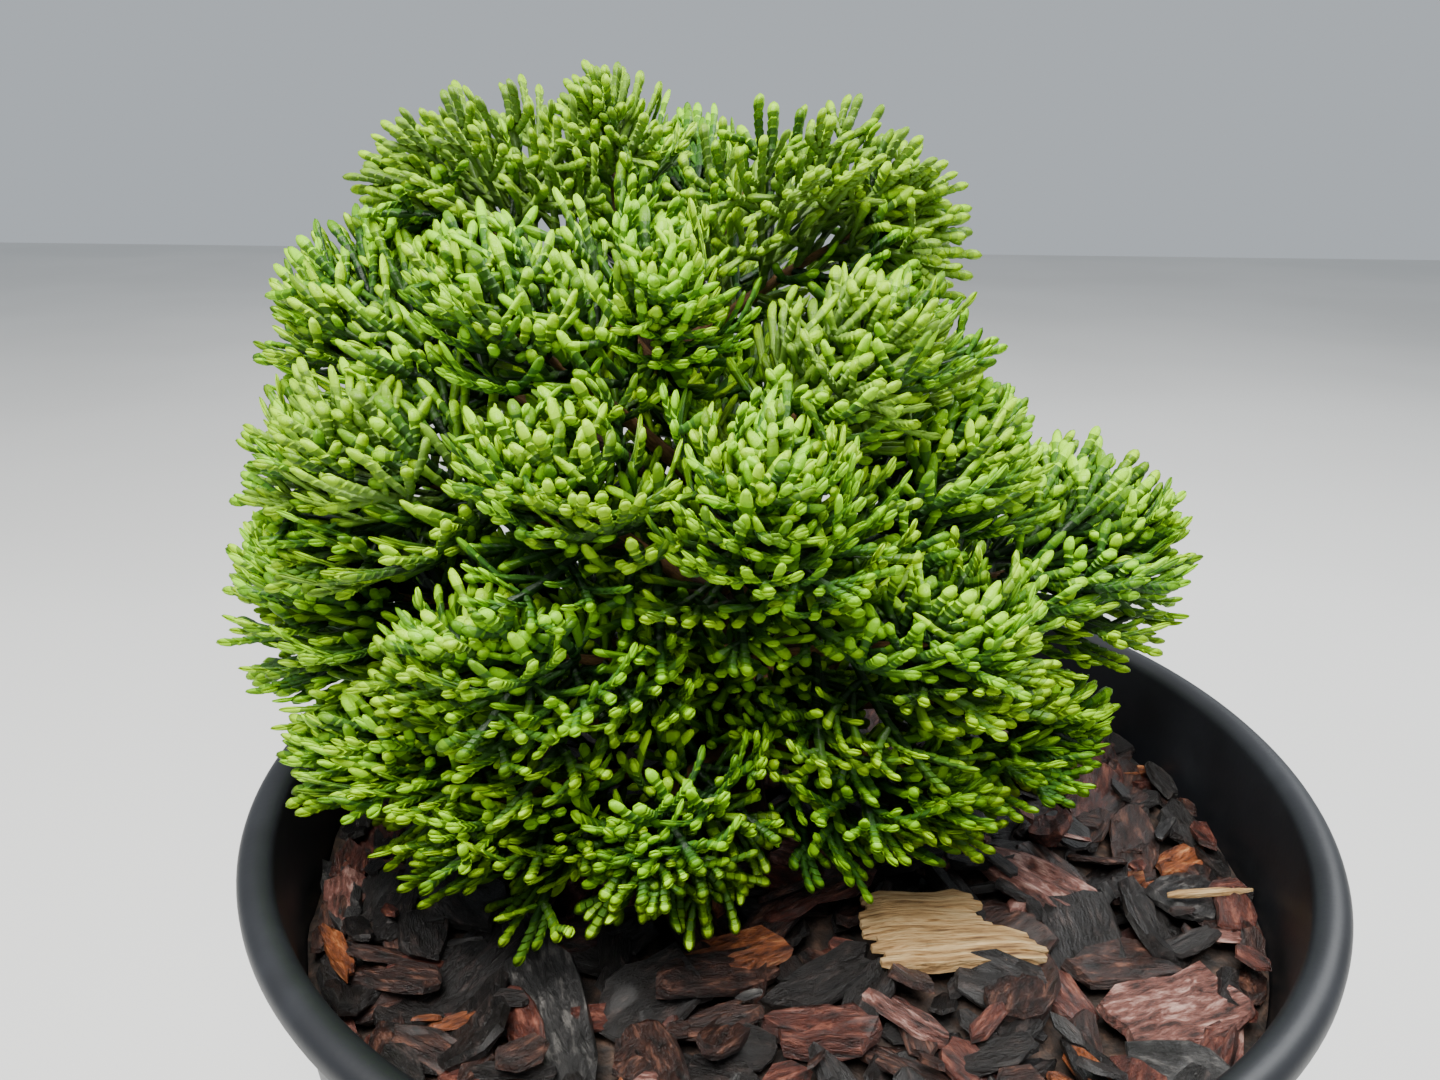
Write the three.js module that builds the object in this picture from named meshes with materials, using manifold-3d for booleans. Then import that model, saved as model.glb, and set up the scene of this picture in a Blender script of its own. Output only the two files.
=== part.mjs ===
// Potted dwarf false cypress: a plastic nursery pot, its bark mulch, a leaning trunk,
// the boughs that leave it, and the masses of flat foliage fans that the boughs carry.
// Millimetres, +Z up. The origin is the centre of the pot's flat underside.
// The plant's front, where it hangs low over the mulch, looks along -Y.

import * as THREE from 'three';
import { mergeVertices } from 'three/addons/utils/BufferGeometryUtils.js';
import Module from 'manifold-3d';

const wasm = await Module();
wasm.setup();

// Pot
const POT_HEIGHT = 190;
const POT_RIM_RADIUS = 100;
const POT_FOOT_RADIUS = 77;
const POT_WALL = 1.8;
const POT_FLOOR = 2.4;
const POT_FOOT_CHAMFER = 2;
const LIP_HEIGHT = 5;
const LIP_OVERHANG = 3.2;
const BAND_HEIGHT = 14;
const BAND_STEP = 1;
const POT_SIDES = 36;
const DRAIN_COUNT = 8;
const DRAIN_RADIUS = 5;
const DRAIN_CIRCLE = 58;

// Mulch, which fills the pot below its rim
const MULCH_DEPTH_BELOW_RIM = 24;
const GROUND = POT_HEIGHT - MULCH_DEPTH_BELOW_RIM;
const MULCH_GAP = 0.3;
const MULCH_RINGS = 4;
const MULCH_ROUGHNESS = 1.6;
const MULCH_WALL_RISE = 4;
const FOOT_CLEARING = 11;
const FOOT_PATCH_RADIUS = 9.5;
const FOOT_PATCH_DEPTH = 9;
const CHIP_COUNT = 19;
const CHIP_MAX_REACH = 80;
const CHIP_LENGTH = [13, 25];
const CHIP_WIDTH = [7, 12];
const CHIP_THICKNESS = [4, 7];
const CHIP_LIFT = 0.8;
const CHIP_ROLL = 0.5;
const CHIP_PITCH = 0.4;
const LARGE_CHIP_THICKNESS = 6;
const LARGE_CHIP_LIFT = 1.6;
const LARGE_CHIP_ROLL = 0.12;
const LARGE_CHIP_PITCH = 0.08;
const LARGE_CHIP_ROOM = 14;

// The chips that catch the eye: place (mm), length, width, turn (degrees)
const LARGE_CHIPS = [
  { x: 31, y: -29, length: 40, width: 12, turn: 12 },
  { x: 9, y: -40, length: 21, width: 11, turn: 35 },
  { x: -8, y: -33, length: 26, width: 12, turn: 22 },
  { x: -37, y: -47, length: 40, width: 12, turn: -64 },
  { x: 10, y: -52, length: 19, width: 12, turn: 0 },
  { x: 70, y: -42, length: 24, width: 15, turn: 10 },
  { x: 60, y: -31, length: 22, width: 10, turn: 8 },
  { x: -64, y: -22, length: 25, width: 16, turn: -30 },
];

// Trunk: a cubic curve from its foot to its tip, leaning back to the left
const TRUNK_CURVE = new THREE.CubicBezierCurve3(
  new THREE.Vector3(-8, 5, GROUND + 0.3),
  new THREE.Vector3(-8, 5, POT_HEIGHT + 20),
  new THREE.Vector3(-14, 10, POT_HEIGHT + 52),
  new THREE.Vector3(-29, 12, POT_HEIGHT + 84),
);
const TRUNK_FOOT_RADIUS = 4.6;
const TRUNK_TIP_RADIUS = 1.3;
const TRUNK_FLARE = 3;
const TRUNK_FLARE_LENGTH = 0.06;
const TRUNK_SIDES = 8;
const TRUNK_STEPS = 10;
const TRUNK_SAMPLES = 60;

// Boughs and the stems that go on from them into the foliage
const BOUGH_ROOT_RADIUS = 2;
const BOUGH_TIP_RADIUS = 1.3;
const BOUGH_SIDES = 5;
const BOUGH_STEPS = 3;
const BOUGH_RISE = 38;
const BOUGH_LOWEST_ROOT = 15;
const BOUGH_ROOT_LIFT = 0.6;
const BOUGH_HIGHEST_ROOT = 98;
const BOUGH_ROOT_STAGGER = 3;
const BOUGH_ENTRY = 0.88;
const BOUGH_ARCH = 0.1;
const BOUGH_SHORTEST = 12;
const TOP_REACH = 5;
const STEM_END = 0.5;
const STEM_TIP_RADIUS = 0.9;
const STEM_SIDES = 4;
const STEM_STEPS = 4;
const STEM_SAMPLES = 30;
const DIRECT_STEM_RADIUS = 1.7;
const LIMB_GAP = 0.3;

// Foliage masses: a dense core round the stem, and the fans that stand out of it
const CORE_SHARE = 0.6;
const CORE_SETBACK = 0.1;
const CORE_LUMPS = 0.16;
const FANS_PER_MASS = 14;
const SOLID_FANS = [2, 4, 7, 9, 11, 13];
const FAN_THICKNESS = 2;
const FAN_SHARE_OF_MASS = 1.08;
const FAN_TIP_SHARE = 0.78;
const FAN_ANGLE_AT_ROOT = 88;
const FAN_ANGLE_AT_TIP = 24;
const FAN_ANGLE_PLAY = 16;
const FAN_FIRST = 0.12;
const FAN_LAST = 0.97;
const FAN_SPIN = 137.5;
const FAN_SPIN_PLAY = 24;
const FAN_SPIN_BY_MASS = 50;
const FAN_LENGTH_PLAY = [0.85, 1.12];
const FAN_FLATNESS = 0.8;
const FAN_ROLL = 60;
const FAN_CUP = 0.16;
const FAN_FOOT_WIDTH = 2.4;
const FAN_SCALES = [1, 0.88, 0.76, 0.64, 0.52, 0.4];
const TWIG_SCALES = [1, 0.75, 0.5];
const TWIG_TEST_STEP = 2;
const LOBE_SPACING = 5;
const LOBE_SPACING_PLAY = [0.88, 1.12];
const LOBE_ANGLE_AT_FOOT = 54;
const LOBE_ANGLE_AT_TIP = 36;
const LOBE_ANGLE_PLAY = 3;
const LOBE_FIRST = 0.2;
const LOBE_LAST = 6.5;
const LOBE_REACH = 0.6;
const LOBE_FILL = 2.6;
const LOBE_FOOT_SHARE = 0.7;
const LOBE_SHORTEST = 2.4;
const LOBE_TIP_WIDTH = 3.8;
const NOTCH_SHARE = 0.34;
const SPACE_MARGIN = 0.3;
const LIMB_CLEARANCE = 1.4;
const MULCH_CLEARANCE = 8.5;
const POT_CLEARANCE = 8.5;
const RIM_CLEARANCE = 2;

// The foliage masses round the trunk. Each centre has an azimuth (degrees from +X), a
// reach from the trunk's line and a height above the rim, and each mass a radius.
// droop lowers the end of the stem, slim narrows a mass, core scales its core, and
// flat lays its fans into one plane. faceFront turns that plane to the plant's front.
const MASSES = [
  {
    name: 'top_leaders', azimuth: 180, reach: 3, height: 104, radius: 25,
    slim: 0.75, core: 0, faceFront: 1,
  },
  {
    name: 'upper_left', azimuth: 190, reach: 22, height: 95, radius: 31,
    core: 0.75, flat: 0.6, faceFront: 1,
  },
  {
    name: 'upper_right', azimuth: 354, reach: 29, height: 91, radius: 34,
    core: 0.75, flat: 0.6, faceFront: 1,
  },
  { name: 'upper_back', azimuth: 75, reach: 20, height: 92, radius: 33 },
  { name: 'shoulder_left', azimuth: 196, reach: 40, height: 75, radius: 33 },
  { name: 'shoulder_front', azimuth: 236, reach: 25, height: 77, radius: 33 },
  { name: 'shoulder_right', azimuth: 334, reach: 30, height: 70, radius: 35 },
  { name: 'middle_left', azimuth: 208, reach: 47, height: 55, radius: 36 },
  { name: 'middle_front_left', azimuth: 246, reach: 34, height: 54, radius: 34 },
  { name: 'middle_front', azimuth: 290, reach: 31, height: 52, radius: 35 },
  { name: 'middle_right', azimuth: 346, reach: 35, height: 50, radius: 34 },
  { name: 'middle_back_left', azimuth: 148, reach: 36, height: 56, radius: 36 },
  { name: 'middle_back', azimuth: 98, reach: 25, height: 58, radius: 36 },
  { name: 'middle_back_right', azimuth: 38, reach: 34, height: 56, radius: 37 },
  { name: 'far_right', azimuth: 2, reach: 61, height: 35, radius: 32, flat: 0.7 },
  { name: 'far_left', azimuth: 197, reach: 60, height: 33, radius: 33 },
  { name: 'inner_left', azimuth: 232, reach: 44, height: 31, radius: 33 },
  { name: 'inner_right', azimuth: 322, reach: 38, height: 30, radius: 33 },
  { name: 'low_left', azimuth: 207, reach: 54, height: 14, radius: 33, droop: 4 },
  { name: 'low_front', azimuth: 252, reach: 34, height: 6, radius: 29, droop: 6 },
  { name: 'low_front_left', azimuth: 223, reach: 45, height: 6, radius: 31, droop: 6 },
  { name: 'low_front_right', azimuth: 322, reach: 32, height: 8, radius: 30, droop: 5 },
  { name: 'low_right', azimuth: 355, reach: 46, height: 10, radius: 30, droop: 4 },
  { name: 'low_back_left', azimuth: 150, reach: 48, height: 16, radius: 36, droop: 4 },
  { name: 'low_back', azimuth: 92, reach: 28, height: 14, radius: 36, droop: 4 },
  { name: 'low_back_right', azimuth: 35, reach: 45, height: 16, radius: 36, droop: 4 },
  {
    name: 'top_right', azimuth: 0, reach: 16, height: 97, radius: 23,
    slim: 0.85, core: 0, faceFront: 1,
  },
  { name: 'shoulder_middle', azimuth: 286, reach: 20, height: 82, radius: 29 },
  { name: 'low_middle', azimuth: 290, reach: 18, height: 13, radius: 26, droop: 5 },
  { name: 'heart', azimuth: 275, reach: 20, height: 27, radius: 27 },
];

const FINISH = {
  pot: { color: 0x1d2126, roughness: 0.42 },
  mulch: { color: 0x3b2721, roughness: 0.85 },
  trunk: { color: 0x6b4630, roughness: 0.8 },
  bough: { color: 0x7d5330, roughness: 0.75 },
  foliage: [0x4f7f22, 0x5a8c27, 0x47751f, 0x64962b],
};

const UP = new THREE.Vector3(0, 0, 1);
const radians = THREE.MathUtils.degToRad;
const mix = THREE.MathUtils.lerp;

// Seeded random numbers, the same on every machine
function makeRandom(seed) {
  let state = (seed * 7919 + 12345) % 4294967296;
  const next = () => {
    state = (state * 1664525 + 1013904223) % 4294967296;
    return state / 4294967296;
  };
  next();
  next();
  return next;
}

// Solids

function toSolid(geometry) {
  const bare = geometry.clone();
  bare.deleteAttribute('normal');
  bare.deleteAttribute('uv');
  const merged = mergeVertices(bare, 1e-4);
  return new wasm.Manifold(new wasm.Mesh({
    numProp: 3,
    vertProperties: new Float32Array(merged.attributes.position.array),
    triVerts: new Uint32Array(merged.index.array),
  }));
}

function toGeometry(solid) {
  const mesh = solid.getMesh();
  const geometry = new THREE.BufferGeometry();
  geometry.setAttribute('position', new THREE.BufferAttribute(new Float32Array(mesh.vertProperties), 3));
  geometry.setIndex(new THREE.BufferAttribute(new Uint32Array(mesh.triVerts), 1));
  geometry.computeVertexNormals();
  return geometry;
}

// The largest closed body of a solid: loose scraps and sealed hollows are dropped
function largestBody(solid) {
  let best = null;
  for (const body of solid.decompose()) {
    if (best === null || body.volume() > best.volume()) {
      best = body;
    }
  }
  return best;
}

function namedMesh(name, solid, finish) {
  const material = new THREE.MeshStandardMaterial({
    color: finish.color,
    roughness: finish.roughness,
    metalness: 0,
  });
  const mesh = new THREE.Mesh(toGeometry(solid), material);
  mesh.name = name;
  return mesh;
}

// Two directions square to a limb's own direction
function crossFrame(direction) {
  const reference = Math.abs(direction.z) > 0.9 ? new THREE.Vector3(0, 1, 0) : UP;
  const side = new THREE.Vector3().crossVectors(direction, reference).normalize();
  const face = new THREE.Vector3().crossVectors(side, direction).normalize();
  return { side, face };
}

// A tapering limb: a capped cylinder bent along part of a curve
function limbSolid(curve, from, to, radiusAt, sides, steps) {
  const geometry = new THREE.CylinderGeometry(1, 1, 1, sides, steps);
  const positions = geometry.attributes.position;
  const vertex = new THREE.Vector3();
  for (let i = 0; i < positions.count; i += 1) {
    vertex.fromBufferAttribute(positions, i);
    const along = mix(from, to, vertex.y + 0.5);
    const centre = curve.getPoint(along);
    const { side, face } = crossFrame(curve.getTangent(along));
    const radius = radiusAt(along);
    centre.addScaledVector(side, vertex.x * radius);
    centre.addScaledVector(face, vertex.z * radius);
    positions.setXYZ(i, centre.x, centre.y, centre.z);
  }
  return toSolid(geometry);
}

// Pot

function potOuterRadius(z) {
  return mix(POT_FOOT_RADIUS, POT_RIM_RADIUS - LIP_OVERHANG - BAND_STEP, z / POT_HEIGHT);
}

function potInnerRadius(z) {
  return potOuterRadius(z) - POT_WALL;
}

function buildPot() {
  const bandFoot = POT_HEIGHT - LIP_HEIGHT - BAND_HEIGHT;
  const lipFoot = POT_HEIGHT - LIP_HEIGHT;
  const outline = [
    [0, 0],
    [POT_FOOT_RADIUS - POT_FOOT_CHAMFER, 0],
    [potOuterRadius(POT_FOOT_CHAMFER), POT_FOOT_CHAMFER],
    [potOuterRadius(bandFoot), bandFoot],
    [potOuterRadius(bandFoot) + BAND_STEP, bandFoot + BAND_STEP],
    [potOuterRadius(lipFoot) + BAND_STEP, lipFoot - 1],
    [POT_RIM_RADIUS - 0.8, lipFoot],
    [POT_RIM_RADIUS, lipFoot + 1.5],
    [POT_RIM_RADIUS, POT_HEIGHT - 1.4],
    [POT_RIM_RADIUS - 1.2, POT_HEIGHT],
    [potInnerRadius(POT_HEIGHT) + 0.8, POT_HEIGHT],
    [potInnerRadius(POT_HEIGHT), POT_HEIGHT - 1],
    [potInnerRadius(POT_FLOOR), POT_FLOOR],
    [0, POT_FLOOR],
  ];
  const profile = outline.map(([radius, z]) => new THREE.Vector2(radius, z));
  const shell = new THREE.LatheGeometry(profile, POT_SIDES);
  shell.rotateX(Math.PI / 2);
  let solid = toSolid(shell);
  for (let i = 0; i < DRAIN_COUNT; i += 1) {
    const angle = (2 * Math.PI * (i + 0.5)) / DRAIN_COUNT;
    const drain = new THREE.CylinderGeometry(DRAIN_RADIUS, DRAIN_RADIUS, 4 * POT_FLOOR, 8);
    drain.rotateX(Math.PI / 2);
    drain.translate(DRAIN_CIRCLE * Math.cos(angle), DRAIN_CIRCLE * Math.sin(angle), 0);
    solid = solid.subtract(toSolid(drain));
  }
  return namedMesh('pot', solid, FINISH.pot);
}

// Mulch

// Height of the mulch, which heaves gently and lies a little higher at the wall
function mulchTop(x, y) {
  const fromTrunk = Math.hypot(x - TRUNK_CURVE.v0.x, y - TRUNK_CURVE.v0.y);
  const rough = Math.min(1, Math.max(0, (fromTrunk - FOOT_CLEARING) / FOOT_CLEARING));
  const wall = (Math.hypot(x, y) / POT_RIM_RADIUS) ** 3;
  const heave = Math.sin(x * 0.13 + 1) * Math.cos(y * 0.11) + 0.6 * Math.sin(x * 0.05 - y * 0.17);
  return GROUND + rough * (MULCH_ROUGHNESS * heave + MULCH_WALL_RISE * wall);
}

// A slab of bark with six corners, thinner at its ends, lying on the mulch
function chipSolid(chip) {
  const slab = new THREE.CylinderGeometry(0.42, 0.5, 1, 6);
  slab.rotateX(Math.PI / 2);
  slab.scale(chip.length, chip.width, chip.thickness);
  slab.rotateX(chip.roll);
  slab.rotateY(chip.pitch);
  slab.rotateZ(radians(chip.turn));
  slab.translate(chip.x, chip.y, mulchTop(chip.x, chip.y) + chip.lift);
  return toSolid(slab);
}

function scatterChips() {
  const random = makeRandom(11);
  const between = (range) => mix(range[0], range[1], random());
  const chips = LARGE_CHIPS.map((chip) => ({
    ...chip,
    thickness: LARGE_CHIP_THICKNESS,
    roll: LARGE_CHIP_ROLL,
    pitch: LARGE_CHIP_PITCH,
    lift: LARGE_CHIP_LIFT,
  }));
  const goldenAngle = Math.PI * (3 - Math.sqrt(5));
  for (let i = 0; i < CHIP_COUNT; i += 1) {
    const reach = CHIP_MAX_REACH * Math.sqrt((i + 0.5) / CHIP_COUNT);
    const chip = {
      x: reach * Math.cos(i * goldenAngle),
      y: reach * Math.sin(i * goldenAngle),
      length: between(CHIP_LENGTH),
      width: between(CHIP_WIDTH),
      thickness: between(CHIP_THICKNESS),
      turn: 360 * random(),
      roll: CHIP_ROLL * (random() - 0.5),
      pitch: CHIP_PITCH * (random() - 0.5),
      lift: CHIP_LIFT,
    };
    const fromTrunk = Math.hypot(chip.x - TRUNK_CURVE.v0.x, chip.y - TRUNK_CURVE.v0.y);
    const crowded = LARGE_CHIPS.some((large) => (
      Math.hypot(chip.x - large.x, chip.y - large.y) < LARGE_CHIP_ROOM
    ));
    if (fromTrunk > FOOT_CLEARING + 0.5 * chip.length && !crowded) {
      chips.push(chip);
    }
  }
  return chips;
}

// A disc round the trunk's foot, where the mulch is settled and flat
function footDisc(bottom, top) {
  const disc = new THREE.CylinderGeometry(FOOT_PATCH_RADIUS, FOOT_PATCH_RADIUS, top - bottom, 10);
  disc.rotateX(Math.PI / 2);
  disc.translate(TRUNK_CURVE.v0.x, TRUNK_CURVE.v0.y, (bottom + top) / 2);
  return toSolid(disc);
}

function buildMulch() {
  const floor = POT_FLOOR + MULCH_GAP;
  const wallRadius = (z) => potInnerRadius(z) - MULCH_GAP;
  const room = new THREE.LatheGeometry([
    new THREE.Vector2(0, floor),
    new THREE.Vector2(wallRadius(floor), floor),
    new THREE.Vector2(wallRadius(POT_HEIGHT), POT_HEIGHT),
    new THREE.Vector2(0, POT_HEIGHT),
  ], POT_SIDES);
  room.rotateX(Math.PI / 2);
  const profile = [new THREE.Vector2(0, floor), new THREE.Vector2(POT_RIM_RADIUS, floor)];
  for (let ring = MULCH_RINGS; ring >= 0; ring -= 1) {
    profile.push(new THREE.Vector2((POT_RIM_RADIUS * ring) / MULCH_RINGS, GROUND));
  }
  const body = new THREE.LatheGeometry(profile, POT_SIDES);
  body.rotateX(Math.PI / 2);
  const positions = body.attributes.position;
  for (let i = 0; i < positions.count; i += 1) {
    if (positions.getZ(i) > GROUND - 1) {
      positions.setZ(i, mulchTop(positions.getX(i), positions.getY(i)));
    }
  }
  let solid = toSolid(body);
  for (const chip of scatterChips()) {
    solid = solid.add(chipSolid(chip));
  }
  const settled = footDisc(GROUND - FOOT_PATCH_DEPTH, GROUND);
  const above = footDisc(GROUND, GROUND + FOOT_PATCH_DEPTH);
  solid = solid.add(settled).subtract(above).intersect(toSolid(room));
  return namedMesh('bark_mulch', largestBody(solid), FINISH.mulch);
}

// Limbs

function trunkRadius(along) {
  const flare = TRUNK_FLARE * Math.exp(-along / TRUNK_FLARE_LENGTH);
  return mix(TRUNK_FOOT_RADIUS, TRUNK_TIP_RADIUS, along) + flare;
}

function trunkSolid(extra) {
  return limbSolid(TRUNK_CURVE, 0, 1, (along) => trunkRadius(along) + extra, TRUNK_SIDES, TRUNK_STEPS);
}

// The trunk's line at a height, found by halving
function trunkPoint(z) {
  let low = 0;
  let high = 1;
  for (let i = 0; i < 30; i += 1) {
    const middle = (low + high) / 2;
    if (TRUNK_CURVE.getPoint(middle).z < z) {
      low = middle;
    } else {
      high = middle;
    }
  }
  return TRUNK_CURVE.getPoint((low + high) / 2);
}

// A mass's space, and the curve that runs from the trunk to the end of its stem
function layOut(row, index) {
  const height = POT_HEIGHT + row.height;
  const azimuth = radians(row.azimuth);
  const outward = new THREE.Vector3(Math.cos(azimuth), Math.sin(azimuth), 0);
  const centre = trunkPoint(height).addScaledVector(outward, row.reach);
  centre.z = height;
  const onTop = row.reach < TOP_REACH;
  const droop = row.droop ?? 0;
  const stagger = BOUGH_ROOT_STAGGER * (((index * 2) % 5) - 2);
  const wanted = height - row.reach * Math.tan(radians(BOUGH_RISE)) + stagger;
  const lowest = GROUND + BOUGH_LOWEST_ROOT + BOUGH_ROOT_LIFT * row.height + stagger;
  const rootHeight = Math.min(Math.max(wanted, lowest), GROUND + BOUGH_HIGHEST_ROOT);
  const root = onTop ? TRUNK_CURVE.getPoint(1) : trunkPoint(rootHeight);
  const chord = new THREE.Vector3().subVectors(centre, root);
  const span = chord.length();
  const end = centre.clone().addScaledVector(chord.normalize(), STEM_END * row.radius);
  end.z -= droop;
  const bend = root.clone().lerp(end, 0.5);
  bend.z += onTop ? 0 : BOUGH_ARCH * span + droop;
  const curve = new THREE.QuadraticBezierCurve3(root, bend, end);
  const entryDistance = span - BOUGH_ENTRY * row.radius;
  const direct = entryDistance < BOUGH_SHORTEST;
  const entry = direct ? 0 : entryDistance / (span + STEM_END * row.radius);
  const usual = { slim: 1, core: 1, flat: FAN_FLATNESS, faceFront: 0 };
  return { ...usual, ...row, index, centre, outward, curve, entry, direct, onTop };
}

const crown = MASSES.map(layOut);

function boughRadius(mass) {
  return (along) => mix(BOUGH_ROOT_RADIUS, BOUGH_TIP_RADIUS, along / mass.entry);
}

function stemRadius(mass) {
  const start = mass.direct ? DIRECT_STEM_RADIUS : BOUGH_TIP_RADIUS;
  return (along) => mix(start, STEM_TIP_RADIUS, (along - mass.entry) / (1 - mass.entry));
}

// The stem begins a hair's breadth past its bough's tip, or past the trunk's tip
function stemStart(mass) {
  if (mass.direct && !mass.onTop) {
    return 0;
  }
  const ahead = mass.curve.getPoint(mass.entry + 0.01).distanceTo(mass.curve.getPoint(mass.entry));
  return mass.entry + (0.01 * (LIMB_GAP + 0.05)) / ahead;
}

// Points along every limb with its radius there, which the foliage keeps clear of
function limbSamples() {
  const samples = [];
  for (let i = 0; i <= TRUNK_SAMPLES; i += 1) {
    const along = i / TRUNK_SAMPLES;
    samples.push({ owner: -1, point: TRUNK_CURVE.getPoint(along), radius: trunkRadius(along) });
  }
  for (const mass of crown) {
    for (let i = 0; i <= STEM_SAMPLES; i += 1) {
      const along = i / STEM_SAMPLES;
      const inStem = along >= mass.entry;
      const radius = inStem ? stemRadius(mass)(along) : boughRadius(mass)(along);
      samples.push({ owner: inStem ? mass.index : -1, point: mass.curve.getPoint(along), radius });
    }
  }
  return samples;
}

const limbs = limbSamples();

// Foliage

// Whether a point lies in a mass's own space: inside its round, on its side of the
// plane between it and each neighbour, above the mulch and clear of the pot
function inSpace(mass, point) {
  const across = Math.hypot(point.x - mass.centre.x, point.y - mass.centre.y) / mass.slim;
  const above = point.z - mass.centre.z;
  if (Math.hypot(across, above) > mass.radius || point.z < GROUND + MULCH_CLEARANCE) {
    return false;
  }
  const own = point.distanceToSquared(mass.centre) - mass.radius ** 2;
  for (const other of crown) {
    if (other.index !== mass.index) {
      const theirs = point.distanceToSquared(other.centre) - other.radius ** 2;
      const apart = mass.centre.distanceTo(other.centre);
      if (own - theirs > -2 * SPACE_MARGIN * apart) {
        return false;
      }
    }
  }
  return true;
}

function clearOfPot(point) {
  const above = point.z > POT_HEIGHT + RIM_CLEARANCE;
  return above || Math.hypot(point.x, point.y) < POT_RIM_RADIUS - POT_CLEARANCE;
}

function clearOfLimbs(mass, point) {
  return limbs.every((limb) => (
    limb.owner === mass.index || point.distanceTo(limb.point) > limb.radius + LIMB_CLEARANCE
  ));
}

// Where a fan sits: its foot on the stem, its direction, its face and its length.
// Fans leave the stem in a spiral, squarely at its root and ever more forward.
function placeFan(mass, order) {
  const random = makeRandom(mass.index * 101 + order * 7 + 3);
  const terminal = order === FANS_PER_MASS - 1;
  const share = (order + 0.6) / FANS_PER_MASS;
  const place = terminal ? FAN_LAST : mix(FAN_FIRST, FAN_LAST, share);
  const along = mix(mass.entry, 1, place);
  const forward = mass.curve.getTangent(along);
  const facing = new THREE.Vector3(0, -mass.faceFront, 1 - mass.faceFront);
  facing.addScaledVector(mass.outward, 0.5);
  const side = new THREE.Vector3().crossVectors(forward, facing).normalize();
  const face = new THREE.Vector3().crossVectors(side, forward).normalize();
  const turn = order * FAN_SPIN + mass.index * FAN_SPIN_BY_MASS;
  const spin = radians(turn + FAN_SPIN_PLAY * (random() - 0.5));
  const steep = mix(FAN_ANGLE_AT_ROOT, FAN_ANGLE_AT_TIP, share) + FAN_ANGLE_PLAY * (random() - 0.5);
  const angle = terminal ? 0 : radians(steep);
  const sideways = side.multiplyScalar(Math.cos(spin)).addScaledVector(face, mass.flat * Math.sin(spin));
  const direction = forward.multiplyScalar(Math.cos(angle));
  direction.addScaledVector(sideways.normalize(), Math.sin(angle)).normalize();
  const plane = facing.addScaledVector(direction, -facing.dot(direction)).normalize();
  plane.applyAxisAngle(direction, radians(FAN_ROLL * (random() - 0.5)));
  const usual = mass.radius * FAN_SHARE_OF_MASS * mix(1, FAN_TIP_SHARE, share);
  const length = usual * mix(FAN_LENGTH_PLAY[0], FAN_LENGTH_PLAY[1], random());
  const across = new THREE.Vector3().crossVectors(plane, direction);
  const seed = Math.floor(random() * 100000);
  return { foot: mass.curve.getPoint(along), direction, plane, across, length, seed };
}

// A point of a fan: x along its axis, y across it, z out of its cupped face
function fanPoint(fan, length, x, y, z) {
  const cup = (FAN_CUP * (x * x + 1.6 * y * y)) / length;
  const point = fan.foot.clone().addScaledVector(fan.direction, x);
  return point.addScaledVector(fan.across, y).addScaledVector(fan.plane, z + cup);
}

// Whether a blunt twig of the fan, from one place in its plane to another, fits
function twigFits(mass, fan, length, from, to) {
  const dx = to[0] - from[0];
  const dy = to[1] - from[1];
  const reach = Math.hypot(dx, dy);
  const half = LOBE_TIP_WIDTH / 2;
  for (const hand of [-1, 1]) {
    for (const face of [-1, 1]) {
      const x = to[0] - (hand * half * dy) / reach;
      const y = to[1] + (hand * half * dx) / reach;
      const corner = fanPoint(fan, length, x, y, (face * FAN_THICKNESS) / 2);
      if (!inSpace(mass, corner) || !clearOfPot(corner)) {
        return false;
      }
    }
  }
  for (let out = TWIG_TEST_STEP; out < reach + 1; out += TWIG_TEST_STEP) {
    const share = out / reach;
    const point = fanPoint(fan, length, from[0] + dx * share, from[1] + dy * share, 0);
    if (!clearOfLimbs(mass, point)) {
      return false;
    }
  }
  return true;
}

// The side branches of a fan, left and right in turn, shorter towards its tip. One
// that would leave the mass's space or touch a limb is made shorter, or skipped.
function fanBranches(mass, fan, length) {
  const random = makeRandom(fan.seed);
  const branches = [];
  let hand = random() < 0.5 ? -1 : 1;
  let along = LOBE_FIRST * length;
  while (along < length - LOBE_LAST) {
    const fullness = mix(LOBE_FOOT_SHARE, 1, Math.min(1, (along / length) * LOBE_FILL));
    const longest = (length - along) * LOBE_REACH * fullness + LOBE_SHORTEST;
    const steep = mix(LOBE_ANGLE_AT_FOOT, LOBE_ANGLE_AT_TIP, along / length);
    const angle = radians(steep + LOBE_ANGLE_PLAY * (random() - 0.5));
    for (const scale of TWIG_SCALES) {
      const reach = longest * scale;
      const tip = [along + reach * Math.cos(angle), hand * reach * Math.sin(angle)];
      if (twigFits(mass, fan, length, [along, 0], tip)) {
        branches.push({ along, hand, reach, angle });
        break;
      }
    }
    along += LOBE_SPACING * mix(LOBE_SPACING_PLAY[0], LOBE_SPACING_PLAY[1], random());
    hand = -hand;
  }
  return branches;
}

// The fan at the largest size whose axis keeps to the mass's space, or nothing
function growFan(mass, order) {
  const fan = placeFan(mass, order);
  for (const scale of FAN_SCALES) {
    const length = fan.length * scale;
    if (twigFits(mass, fan, length, [0, 0], [length, 0])) {
      return { ...fan, length, branches: fanBranches(mass, fan, length) };
    }
  }
  return null;
}

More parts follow.
